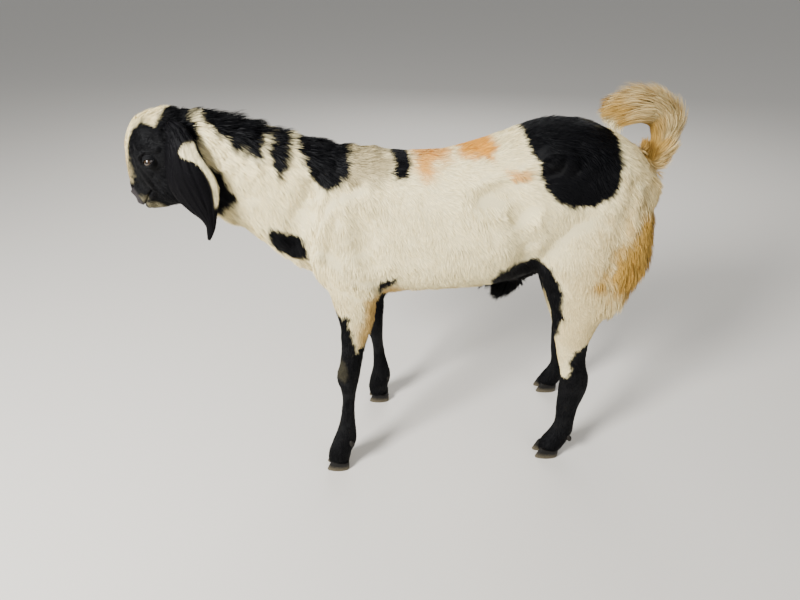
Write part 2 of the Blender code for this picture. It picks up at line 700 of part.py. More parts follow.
def make_ear(sign, work):
    """One hanging ear: a long leaf, cupped towards the head, with ridges along its back."""
    rows = between_rows(EAR_ROWS, EAR_STEPS)
    places = [Vector((row[0], sign * row[1], row[2])) for row in rows]
    spread = np.linspace(-1.0, 1.0, EAR_ACROSS)
    rings = []
    for index, (row, place) in enumerate(zip(rows, places)):
        before = places[max(index - 1, 0)]
        after = places[min(index + 1, len(places) - 1)]
        along = (after - before).normalized()
        outward = Vector((EAR_FACE.x, sign * EAR_FACE.y, EAR_FACE.z))
        outward = (outward - along * outward.dot(along)).normalized()
        wide = along.cross(outward) * sign
        half_width, cup, thickness = row[3:]
        back, hollow = [], []
        for s in spread:
            leaf = place + wide * (s * half_width) - outward * (cup * s * s)
            ridge = EAR_RIDGE * math.cos(s * EAR_RIDGES * math.pi) * min(1.0, half_width / 0.03)
            rim = thickness * (0.5 - 0.28 * s * s)
            back.append(leaf + outward * (rim + ridge))
            hollow.append(leaf - outward * rim)
        rings.append(back + hollow[::-1])
    return loft("ear", rings, work)


def make_claw(leg, side, half, work):
    """One claw of a hoof: half is -1 or 1 across the foot."""
    shift = (FORE_REACH if leg == "fore" else HIND_REACH)[side]
    toe, heel = TOE_X[leg] + shift, HEEL_X[leg] + shift
    slope = (CORONET_HEEL - CORONET_FRONT) / (heel - toe)
    middle = 0.5 * (toe + heel)
    middle_y = foot_y(leg, side) + half * CLAW_SPREAD
    rings = []
    for height, inset in ((0.0, 0.0012), (0.12, 0.0), (0.6, 0.0), (1.0, 0.0010)):
        ring = []
        for turn in np.arange(CLAW_SIDES) * 2 * math.pi / CLAW_SIDES:
            share = 0.5 * (1.0 + math.cos(turn))  # 1 at the toe, 0 at the heel
            x = heel + (toe - heel) * share
            wide = CLAW_WIDTH / 2 * math.copysign(abs(math.sin(turn)) ** 0.75, math.sin(turn))
            wide *= 1.0 - 0.32 * share**2
            x = middle + (x - middle) * (1.0 - inset / HOOF_HALF_LENGTH) + TOE_LEAN * share * height
            wide *= 1.0 - inset / (CLAW_WIDTH / 2)
            ring.append((x, middle_y + wide, height * (CORONET_FRONT + (x - toe) * slope)))
        rings.append(ring)
    return loft("claw", rings, work)


def lock(points, sides, outs, width, thickness, work):
    """A flat, tapered closed strip along points, with a low ridge on its outer face."""
    last = len(points) - 1
    rings = []
    for index in range(last):
        share = index / last
        wide = width * (0.70 + 1.1 * share - 1.5 * share**2)
        thick = thickness * (1.0 - 0.6 * share)
        point, side, out = points[index], sides[index], outs[index]
        rings.append([point - side * wide / 2, point + out * thick, point + side * wide / 2])
    shape = bmesh.new()
    rows = [[shape.verts.new(place) for place in ring] for ring in rings]
    tip = shape.verts.new(points[last])
    for low, high in zip(rows, rows[1:]):
        for side in range(3):
            after = (side + 1) % 3
            shape.faces.new((low[side], low[after], high[after], high[side]))
    for side in range(3):
        shape.faces.new((rows[-1][side], rows[-1][(side + 1) % 3], tip))
    shape.faces.new(rows[0])
    bmesh.ops.triangulate(shape, faces=shape.faces)
    bmesh.ops.recalc_face_normals(shape, faces=shape.faces)
    mesh = bpy.data.meshes.new("lock")
    shape.to_mesh(mesh)
    shape.free()
    return add_object("lock", mesh, work)


def surface_lock(tree, place, out, lie, length, rise, width, work):
    """A lock that leaves a surface at its root and follows it, its tip standing off by rise."""
    along = (lie - out * lie.dot(out)).normalized()
    points, sides, outs = [], [], []
    for index in range(LOCK_POINTS):
        share = index / (LOCK_POINTS - 1)
        foot, normal = tree.find_nearest(place + along * (length * share))[:2]
        points.append(foot + normal * ((rise + LOCK_ROOT) * share**LOCK_LEAVE - LOCK_ROOT))
        sides.append(along.cross(normal).normalized())
        outs.append(normal)
    return lock(points, sides, outs, width, LOCK_THICKNESS, work)


def join_locks(target, locks, work):
    """One union of a node with all its locks."""
    if not locks:
        return target
    bundle = bpy.data.collections.new("locks")
    bpy.context.scene.collection.children.link(bundle)
    for piece in locks:
        work.objects.unlink(piece)
        bundle.objects.link(piece)
    step = target.modifiers.new("union", "BOOLEAN")
    step.operation = "UNION"
    step.operand_type = "COLLECTION"
    step.collection = bundle
    step.solver = LOCK_SOLVER
    apply_modifiers(target)
    drop(*locks)
    bpy.data.collections.remove(bundle)
    return keep_largest(target)


def mane_rays(x_range, rows, angles):
    """Rays from above and beside towards the middle of the neck."""
    for index, x in enumerate(np.linspace(*x_range, rows)):
        for angle in angles:
            turn = math.radians(angle + (8.0 if index % 2 else -8.0))
            out = Vector((0.0, math.sin(turn), math.cos(turn)))
            yield Vector((x, 0.0, MANE_MIDDLE - MANE_FALL * x)) + out * RAY_START, -out


def upright_rays(x_range, rows, y_values, upwards):
    """Rays straight up from below, or straight down from above."""
    way = Vector((0.0, 0.0, 1.0 if upwards else -1.0))
    for index, x in enumerate(np.linspace(*x_range, rows)):
        for y in y_values:
            yield Vector((x, y + (0.004 if index % 2 else -0.004), RAY_MIDDLE)) - way * RAY_MIDDLE, way


def rear_rays(z_range, rows, y_values):
    """Rays from behind."""
    for index, z in enumerate(np.linspace(*z_range, rows)):
        for y in y_values:
            yield Vector((RAY_BEHIND, y + (0.007 if index % 2 else -0.007), z)), Vector((-1.0, 0.0, 0.0))


def add_locks(target, fields, draw, work):
    """Roots locks where the rays of each field meet the node, and joins them to it."""
    tree = BVHTree.FromObject(target, bpy.context.evaluated_depsgraph_get())
    made = []
    for rays, lie, length, rise, width in fields:
        for start, way in rays:
            hit, out = tree.ray_cast(start, way)[:2]
            if hit is None:
                continue
            along = Vector(lie) + Vector((0.0, draw.uniform(-0.2, 0.2) + LIE_SPREAD * hit.y, 0.0))
            made.append(surface_lock(
                tree, hit, out, along, length * draw.uniform(0.85, 1.12), rise * draw.uniform(0.75, 1.25),
                width * draw.uniform(0.9, 1.1), work,
            ))
    return join_locks(target, made, work)


def lock_fields():
    """For each node: rays, lie, length, rise of the tip and width of its locks."""
    fields = {
        "neck": [
            (mane_rays((-0.572, -0.418), 8, (-36, 36)), (1.0, 0.0, -0.30), 0.082, 0.010, 0.036),
            (mane_rays((-0.578, -0.408), 9, (-10, 10)), (1.0, 0.0, -0.28), 0.078, 0.019, 0.032),
            (upright_rays((-0.598, -0.540), 3, (-0.018, 0.018), True), (0.8, 0.0, -0.5), 0.056,
             0.012, 0.032),
        ],
        "head": [
            (upright_rays((-0.690, -0.676), 2, (-0.014, 0.014), True), (1.0, 0.0, -0.3), 0.042,
             0.010, 0.026),
            (upright_rays((-0.700, -0.672), 3, (-0.015, 0.015), False), (1.0, 0.0, 0.4), 0.052,
             0.008, 0.030),
        ],
        "torso": [
            (mane_rays((-0.292, -0.235), 3, (-16, 16)), (1.0, 0.0, -0.15), 0.080, 0.010, 0.036),
            (upright_rays((0.108, 0.124), 2, (-0.005, 0.005), True), (-0.4, 0.0, -0.9), 0.030,
             0.018, 0.014),
        ],
    }
    for side in SIDES:
        hind, fore = foot_y("hind", side), foot_y("fore", side)
        fields[f"hindleg_{side}"] = [
            (rear_rays((0.586, 0.490), 5, (0.74 * hind,)), (0.1, 0.0, -1.0), 0.084, 0.014, 0.036),
            (rear_rays((0.543, 0.486), 4, (0.46 * hind,)), (0.1, 0.0, -1.0), 0.084, 0.014, 0.036),
        ]
        fields[f"foreleg_{side}"] = [
            (rear_rays((0.438, 0.368), 4, (0.76 * fore,)), (0.1, 0.0, -1.0), 0.062, 0.010, 0.030),
        ]
    return fields


def path_place(path, distance):
    """Place and heading on a side-view path at a distance from its start; straight on past its end."""
    steps = np.linalg.norm(np.diff(path, axis=0), axis=1)
    reached = np.concatenate([[0.0], np.cumsum(steps)])
    index = min(int(np.searchsorted(reached, distance, side="right")) - 1, len(steps) - 1)
    heading = (path[index + 1] - path[index]) / steps[index]
    place = path[index] + heading * (distance - reached[index])
    return Vector((place[0], 0.0, place[1])), Vector((heading[0], 0.0, heading[1]))


def tail_locks(draw, work):
    """The plume: locks that follow the curl of the tail and spread from it."""
    path = np.array(between_rows(TAIL_PATH, 6))
    made = []
    for row, start in enumerate(np.linspace(*TAIL_LOCK_STARTS, TAIL_LOCK_ROWS)):
        for index in range(TAIL_LOCKS_ROUND):
            angle = 2 * math.pi * (index + 0.5 * (row % 2)) / TAIL_LOCKS_ROUND
            reach = TAIL_LOCK_REACH * draw.uniform(0.85, 1.15)
            far = row / (TAIL_LOCK_ROWS - 1)
            inner = TAIL_SPREAD_IN[0] + (TAIL_SPREAD_IN[1] - TAIL_SPREAD_IN[0]) * far
            outer = TAIL_SPREAD_OUT[0] + (TAIL_SPREAD_OUT[1] - TAIL_SPREAD_OUT[0]) * far
            spread = inner + (outer - inner) * (0.5 + 0.5 * math.cos(angle))
            spread *= draw.uniform(0.8, 1.2) * (0.55 + 0.45 * abs(math.cos(angle)))
            points, sides, outs = [], [], []
            for step in range(LOCK_POINTS):
                share = step / (LOCK_POINTS - 1)
                place, heading = path_place(path, start + reach * share)
                top = heading.cross(Vector((0.0, 1.0, 0.0))) * -1.0
                out = top * math.cos(angle) + Vector((0.0, 1.0, 0.0)) * math.sin(angle)
                points.append(place + out * (TAIL_CORE * (1.0 - 0.4 * share) + spread * share))
                sides.append(heading.cross(out))
                outs.append(out)
            made.append(lock(points, sides, outs, TAIL_LOCK_WIDTH, TAIL_LOCK_THICKNESS, work))
    return made


def finish_node(target, name, material, goat, stand_point, smooth=50):
    """Names a node, shades it smooth and hangs it on the stand point."""
    for old in list(target.users_collection):
        old.objects.unlink(target)
    goat.objects.link(target)
    target.name = name
    target.data.name = name
    target.data.materials.clear()
    target.data.materials.append(material)
    target.data.shade_smooth()
    target.data.set_sharp_from_angle(angle=math.radians(smooth))
    target.data.transform(Matrix.Translation(BODY_SHIFT))
    target.parent = stand_point


def main():
    clear_scene()
    materials = make_materials()
    goat = bpy.data.collections.new("billy_goat")
    work = bpy.data.collections.new("cutters")
    for collection in (goat, work):
        bpy.context.scene.collection.children.link(collection)
    stand_point = add_object("stand_point", None, goat)

    nodes = part_body(whole_body(work), work)
    nodes["head"], head_form = make_head(work)
    for name, fields in lock_fields().items():
        add_locks(nodes[name], fields, random.Random(LOCK_SEED), work)
    plume = tube("plume", TAIL_RIBS, work, sides=12, steps=2)
    boolean(nodes["tail"], plume, "UNION")
    drop(plume)
    join_locks(nodes["tail"], tail_locks(random.Random(LOCK_SEED), work), work)
    clear_of(nodes["tail"], [nodes["torso"]], work, LOCK_SOLVER)
    nodes["scrotum"] = tube("scrotum", SCROTUM_RIBS, work, sides=12, steps=2)
    clear_of(nodes["scrotum"], [nodes["torso"], nodes["hindleg_left"], nodes["hindleg_right"]], work)
    for side, sign in SIDES.items():
        nodes[f"eye_{side}"] = ball("eye", eye_frame(sign)[0], EYE_RADIUS, work, segments=EYE_SEGMENTS)
        ear = make_ear(sign, work)
        nodes[f"ear_{side}"] = clear_of(ear, [head_form, nodes["neck"]], work)
        for leg in ("fore", "hind"):
            for half, place in ((-1, "outer"), (1, "inner")):
                claw = make_claw(leg, side, half * sign * -1, work)
                nodes[f"hoof_{leg}_{side}_{place}"] = claw
    drop(head_form)
    for name, node in nodes.items():
        material = materials[NODE_MATERIALS.get(name.split("_")[0], "coat_cream")]
        finish_node(node, name, material, goat, stand_point)


main()
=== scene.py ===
"""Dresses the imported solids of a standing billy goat: skin, coat, eyes, ears, hooves and studio.

All sizes are in metres unless a name says otherwise. The forms are worked out in the goat's own
place, where its tail's dock and muzzle were measured, and are then moved by BODY_SHIFT, as the
solids are. The goat faces -X with its left side towards -Y. A row for one side has the distance
from the middle plane in place of y, and is used on both sides.
"""
import logging
import math
from collections.abc import Callable, Sequence
from dataclasses import dataclass
from enum import Enum
from itertools import product

import bmesh
import bpy
import numpy as np
from bmesh.types import BMesh, BMFace
from bpy.types import Material, Mesh, Node, NodeInputs, NodeSocket, NodeTree, Object
from mathutils import Matrix, Vector


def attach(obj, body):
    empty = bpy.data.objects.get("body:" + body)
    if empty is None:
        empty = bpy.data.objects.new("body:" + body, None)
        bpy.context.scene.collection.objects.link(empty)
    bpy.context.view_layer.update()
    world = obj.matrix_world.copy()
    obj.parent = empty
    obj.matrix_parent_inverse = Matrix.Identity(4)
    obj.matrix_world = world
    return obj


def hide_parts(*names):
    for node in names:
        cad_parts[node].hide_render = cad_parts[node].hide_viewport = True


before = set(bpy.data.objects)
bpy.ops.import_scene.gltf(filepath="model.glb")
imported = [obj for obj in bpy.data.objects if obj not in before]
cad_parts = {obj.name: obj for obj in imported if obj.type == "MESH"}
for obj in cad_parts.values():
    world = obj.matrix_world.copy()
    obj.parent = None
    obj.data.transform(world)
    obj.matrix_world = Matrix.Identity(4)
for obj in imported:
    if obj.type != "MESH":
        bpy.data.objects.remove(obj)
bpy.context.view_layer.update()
LOG = logging.getLogger("billy_goat")
Array = np.ndarray
Draw = np.random.Generator

BODY_SHIFT = np.array((0.1434, 0.0061, 0.0))
SIDES = {"left": -1, "right": 1}
FAR = 1e9
CELL_PRIMES = (73856093, 19349663, 83492791)  # they turn a cell's place into one number
BAKE_MAP = "OFBake"
PATCH = 0.003  # how wide one tuft is on the bake map
MARK_LAYER = "markings"
STRAND_LAYER = "strand"
TUFT_LAYER = "tuft"
BARE_LAYER = "bare"
OUTER_LAYER = "outer"
LIE_LAYER = "lie"
LOOK_LAYER = "look"
LAYER_KINDS = {1: ("FLOAT", "value"), 3: ("FLOAT_VECTOR", "vector"), 4: ("FLOAT_COLOR", "color")}

# Ribs: top x, top z, bottom x, bottom z, y of the middle, half width, widest at (0 bottom, 1 top)
TORSO_RIBS = (
    (-0.375, 0.665, -0.385, 0.600, 0.0, 0.020, 0.50),
    (-0.345, 0.735, -0.368, 0.535, 0.0, 0.066, 0.50),
    (-0.305, 0.822, -0.330, 0.490, 0.0, 0.098, 0.44),
    (-0.245, 0.822, -0.265, 0.468, 0.0, 0.116, 0.38),
    (-0.160, 0.810, -0.170, 0.474, 0.0, 0.136, 0.36),
    (-0.060, 0.811, -0.060, 0.478, 0.0, 0.152, 0.36),
    (0.040, 0.836, 0.045, 0.482, 0.0, 0.154, 0.39),
    (0.130, 0.866, 0.125, 0.494, 0.0, 0.140, 0.47),
    (0.215, 0.872, 0.195, 0.518, 0.0, 0.130, 0.55),
    (0.300, 0.848, 0.275, 0.549, 0.0, 0.122, 0.56),
    (0.365, 0.812, 0.345, 0.580, 0.0, 0.104, 0.52),
    (0.410, 0.768, 0.398, 0.625, 0.0, 0.074, 0.50),
    (0.432, 0.720, 0.428, 0.680, 0.0, 0.022, 0.50),
)
NECK_RIBS = (
    (-0.650, 0.862, -0.640, 0.750, 0.0, 0.034, 0.50),
    (-0.605, 0.902, -0.618, 0.700, 0.0, 0.054, 0.52),
    (-0.540, 0.896, -0.562, 0.672, 0.0, 0.060, 0.50),
    (-0.465, 0.876, -0.503, 0.630, 0.0, 0.067, 0.48),
    (-0.390, 0.852, -0.445, 0.577, 0.0, 0.078, 0.46),
    (-0.315, 0.832, -0.385, 0.528, 0.0, 0.090, 0.46),
    (-0.245, 0.806, -0.300, 0.520, 0.0, 0.080, 0.50),
)
HEAD_RIBS = (
    (-0.724, 0.711, -0.712, 0.700, 0.0, 0.011, 0.50),
    (-0.732, 0.725, -0.702, 0.695, 0.0, 0.022, 0.50),
    (-0.738, 0.748, -0.689, 0.694, 0.0, 0.028, 0.52),
    (-0.7385, 0.780, -0.674, 0.697, 0.0, 0.033, 0.54),
    (-0.7355, 0.815, -0.657, 0.700, 0.0, 0.038, 0.58),
    (-0.728, 0.850, -0.641, 0.703, 0.0, 0.045, 0.62),
    (-0.706, 0.885, -0.626, 0.708, 0.0, 0.050, 0.66),
    (-0.664, 0.904, -0.612, 0.716, 0.0, 0.051, 0.66),
    (-0.620, 0.907, -0.600, 0.740, 0.0, 0.048, 0.60),
    (-0.588, 0.888, -0.588, 0.780, 0.0, 0.030, 0.55),
)
# A leg's rib has its front point first, and its y and half width are for the left leg as it stands
FORELEG_RIBS = (
    (-0.335, 0.690, -0.200, 0.690, -0.062, 0.034, 0.50),
    (-0.352, 0.610, -0.195, 0.610, -0.076, 0.044, 0.50),
    (-0.345, 0.540, -0.205, 0.540, -0.088, 0.044, 0.50),
    (-0.324, 0.475, -0.220, 0.485, -0.098, 0.039, 0.50),
    (-0.312, 0.415, -0.240, 0.415, -0.107, 0.031, 0.50),
    (-0.314, 0.355, -0.254, 0.355, -0.113, 0.026, 0.50),
    (-0.323, 0.300, -0.263, 0.298, -0.117, 0.028, 0.50),
    (-0.324, 0.268, -0.270, 0.264, -0.119, 0.027, 0.50),
    (-0.318, 0.226, -0.278, 0.224, -0.122, 0.021, 0.50),
    (-0.324, 0.165, -0.283, 0.163, -0.127, 0.019, 0.50),
    (-0.336, 0.118, -0.281, 0.112, -0.131, 0.023, 0.50),
    (-0.347, 0.090, -0.283, 0.082, -0.134, 0.026, 0.50),
    (-0.356, 0.062, -0.297, 0.052, -0.136, 0.026, 0.50),
    (-0.362, 0.036, -0.302, 0.028, -0.137, 0.028, 0.50),
    (-0.362, 0.018, -0.306, 0.014, -0.138, 0.022, 0.50),
)
HINDLEG_RIBS = (
    (0.165, 0.770, 0.370, 0.750, -0.060, 0.040, 0.50),
    (0.140, 0.705, 0.404, 0.690, -0.070, 0.054, 0.50),
    (0.134, 0.635, 0.411, 0.630, -0.080, 0.060, 0.50),
    (0.143, 0.565, 0.404, 0.560, -0.089, 0.057, 0.50),
    (0.168, 0.500, 0.370, 0.490, -0.098, 0.049, 0.50),
    (0.190, 0.435, 0.330, 0.425, -0.106, 0.040, 0.50),
    (0.206, 0.370, 0.306, 0.357, -0.112, 0.032, 0.50),
    (0.223, 0.308, 0.299, 0.300, -0.117, 0.027, 0.50),
    (0.236, 0.262, 0.316, 0.246, -0.121, 0.027, 0.50),
    (0.236, 0.216, 0.317, 0.205, -0.124, 0.025, 0.50),
    (0.237, 0.160, 0.303, 0.152, -0.128, 0.020, 0.50),
    (0.240, 0.112, 0.297, 0.106, -0.132, 0.021, 0.50),
    (0.234, 0.086, 0.296, 0.078, -0.135, 0.024, 0.50),
    (0.219, 0.060, 0.285, 0.052, -0.138, 0.025, 0.50),
    (0.205, 0.036, 0.272, 0.030, -0.140, 0.026, 0.50),
    (0.203, 0.018, 0.262, 0.014, -0.141, 0.021, 0.50),
)
TAIL_RIBS = (
    (0.392, 0.765, 0.422, 0.738, 0.0, 0.014, 0.50),
    (0.400, 0.792, 0.436, 0.775, 0.0, 0.016, 0.50),
    (0.402, 0.824, 0.442, 0.818, 0.0, 0.017, 0.50),
    (0.393, 0.846, 0.432, 0.862, 0.0, 0.017, 0.50),
    (0.370, 0.864, 0.400, 0.896, 0.0, 0.015, 0.50),
    (0.342, 0.878, 0.356, 0.910, 0.0, 0.012, 0.50),
    (0.315, 0.886, 0.320, 0.904, 0.0, 0.005, 0.50),
)
SHEATH_RIBS = (
    (0.225, 0.545, 0.215, 0.496, 0.0, 0.012, 0.50),
    (0.165, 0.522, 0.160, 0.474, 0.0, 0.015, 0.50),
    (0.115, 0.505, 0.110, 0.456, 0.0, 0.015, 0.50),
    (0.085, 0.482, 0.088, 0.450, 0.0, 0.009, 0.50),
)
SCROTUM_RIBS = (
    (0.285, 0.580, 0.325, 0.585, 0.0, 0.020, 0.50),
    (0.280, 0.520, 0.336, 0.520, 0.0, 0.027, 0.50),
    (0.276, 0.475, 0.342, 0.474, 0.0, 0.032, 0.50),
    (0.282, 0.435, 0.338, 0.434, 0.0, 0.030, 0.50),
    (0.298, 0.408, 0.324, 0.408, 0.0, 0.016, 0.50),
)
TAIL_EDGE = ((0.270, 0.876), (0.300, 0.867), (0.340, 0.852), (0.370, 0.834), (0.384, 0.802),
             (0.395, 0.777), (0.410, 0.757), (0.430, 0.742), (0.460, 0.735))  # where the rump ends
LEG_RIBS = {"fore": FORELEG_RIBS, "hind": HINDLEG_RIBS}
REACH = {"fore": {"left": 0.0, "right": 0.122},  # how far back each foot is set
         "hind": {"left": 0.0, "right": 0.078}}
LEG_TOP = 0.55  # a leg starts to lean below this height
LEG_BEND = 0.75  # below one, the lean starts higher up the leg
LEG_INNER = 0.02  # the right legs are beyond this y
LEGS_PART = -0.05  # the forelegs are ahead of this x
LEAN_FADE = (0.52, 0.44)  # heights between which markings and combs take up the lean
FOREARM_BACK = {"left": 0.0, "right": 0.018}  # how much deeper the forearm is, seen from the side
FOREARM_MIDDLE = (0.450, 0.080)  # height and reach of that depth
RIGHT_LEG_Y = 0.88  # the right feet stand a little nearer the middle

# Swellings of the form: place, radii, turn about Y
SWELLINGS = (
    ((-0.275, 0.080, 0.640), (0.080, 0.038, 0.120), 0.35),
    ((-0.300, 0.082, 0.575), (0.068, 0.036, 0.075), -0.5),
    ((0.275, 0.085, 0.690), (0.105, 0.046, 0.110), -0.30),
    ((0.392, 0.048, 0.735), (0.026, 0.020, 0.022), 0.0),
    ((-0.010, 0.070, 0.602), (0.170, 0.080, 0.098), 0.0),
    ((-0.678, 0.040, 0.825), (0.028, 0.016, 0.019), 0.0),
    ((-0.642, 0.026, 0.755), (0.046, 0.022, 0.044), 0.0),
    ((-0.7290, 0.0140, 0.738), (0.0095, 0.0110, 0.0140), 0.0),
    ((-0.7190, 0.0130, 0.716), (0.0140, 0.0120, 0.0110), 0.0),
    ((-0.7000, 0.0080, 0.703), (0.0150, 0.0120, 0.0100), 0.0),
    ((-0.629, 0.0420, 0.868), (0.024, 0.018, 0.020), 0.0),
)

EYE_CENTRE = np.array((-0.6735, 0.0455, 0.8110))
EYE_RADIUS = 0.0135
EYE_LOOK = np.array((-0.30, 0.95, 0.06))
EYE_TILT = math.radians(24)
EYE_OPENING = (0.0130, 0.0064)  # half the slit's length and height

# Ear rows: x, distance from the middle plane, z, half width, cup, thickness
EAR_ROWS = (
    (-0.628, 0.046, 0.882, 0.018, 0.004, 0.0110),
    (-0.613, 0.062, 0.869, 0.027, 0.008, 0.0095),
    (-0.604, 0.078, 0.847, 0.034, 0.011, 0.0062),
    (-0.600, 0.087, 0.818, 0.041, 0.013, 0.0044),
    (-0.595, 0.092, 0.788, 0.049, 0.015, 0.0040),
    (-0.586, 0.093, 0.758, 0.049, 0.014, 0.0038),
    (-0.577, 0.092, 0.728, 0.036, 0.010, 0.0038),
    (-0.570, 0.090, 0.703, 0.020, 0.006, 0.0038),
    (-0.568, 0.088, 0.682, 0.011, 0.003, 0.0038),
    (-0.572, 0.085, 0.664, 0.007, 0.001, 0.0036),
    (-0.577, 0.082, 0.649, 0.003, 0.000, 0.0028),
)
EAR_FACE = np.array((-0.18, 1.0, 0.22))  # the way the back of the ear faces

TOE_X = {"fore": -0.366, "hind": 0.194}
HEEL_X = {"fore": -0.307, "hind": 0.256}
FOOT_Y = {"fore": 0.1375, "hind": 0.1405}
CORONET_FRONT = 0.034
CORONET_HEEL = 0.024
CLAW_WIDTH = 0.026
CLAW_SPREAD = 0.0145
TOE_LEAN = 0.014
HOOF_HALF_LENGTH = 0.030
DEWCLAW_HEIGHT = {"fore": 0.088, "hind": 0.062}
DEWCLAW_BACK = {"fore": 0.010, "hind": 0.025}
DEWCLAW_RADII = (0.0066, 0.0055, 0.0110)


class Tone(Enum):
    """The colours that the coat's markings change between. The value is a channel, or none for cream."""

    BLACK = 0
    GOLD = 1
    TAN = 2
    ORANGE = 3
    CREAM = None


class Side(Enum):
    """Which side of the goat a marking is on."""

    LEFT = -1
    BOTH = 0
    RIGHT = 1


@dataclass(frozen=True)
class Patch:
    """One marking of the coat, outlined in the side view by points (x, z)."""

    tone: Tone
    outline: tuple[tuple[float, float], ...]
    side: Side = Side.BOTH
    strength: float = 1.0
    fray: float = 0.008  # how far the edge wanders
    edge: float = 0.004  # over how much the tone fades out


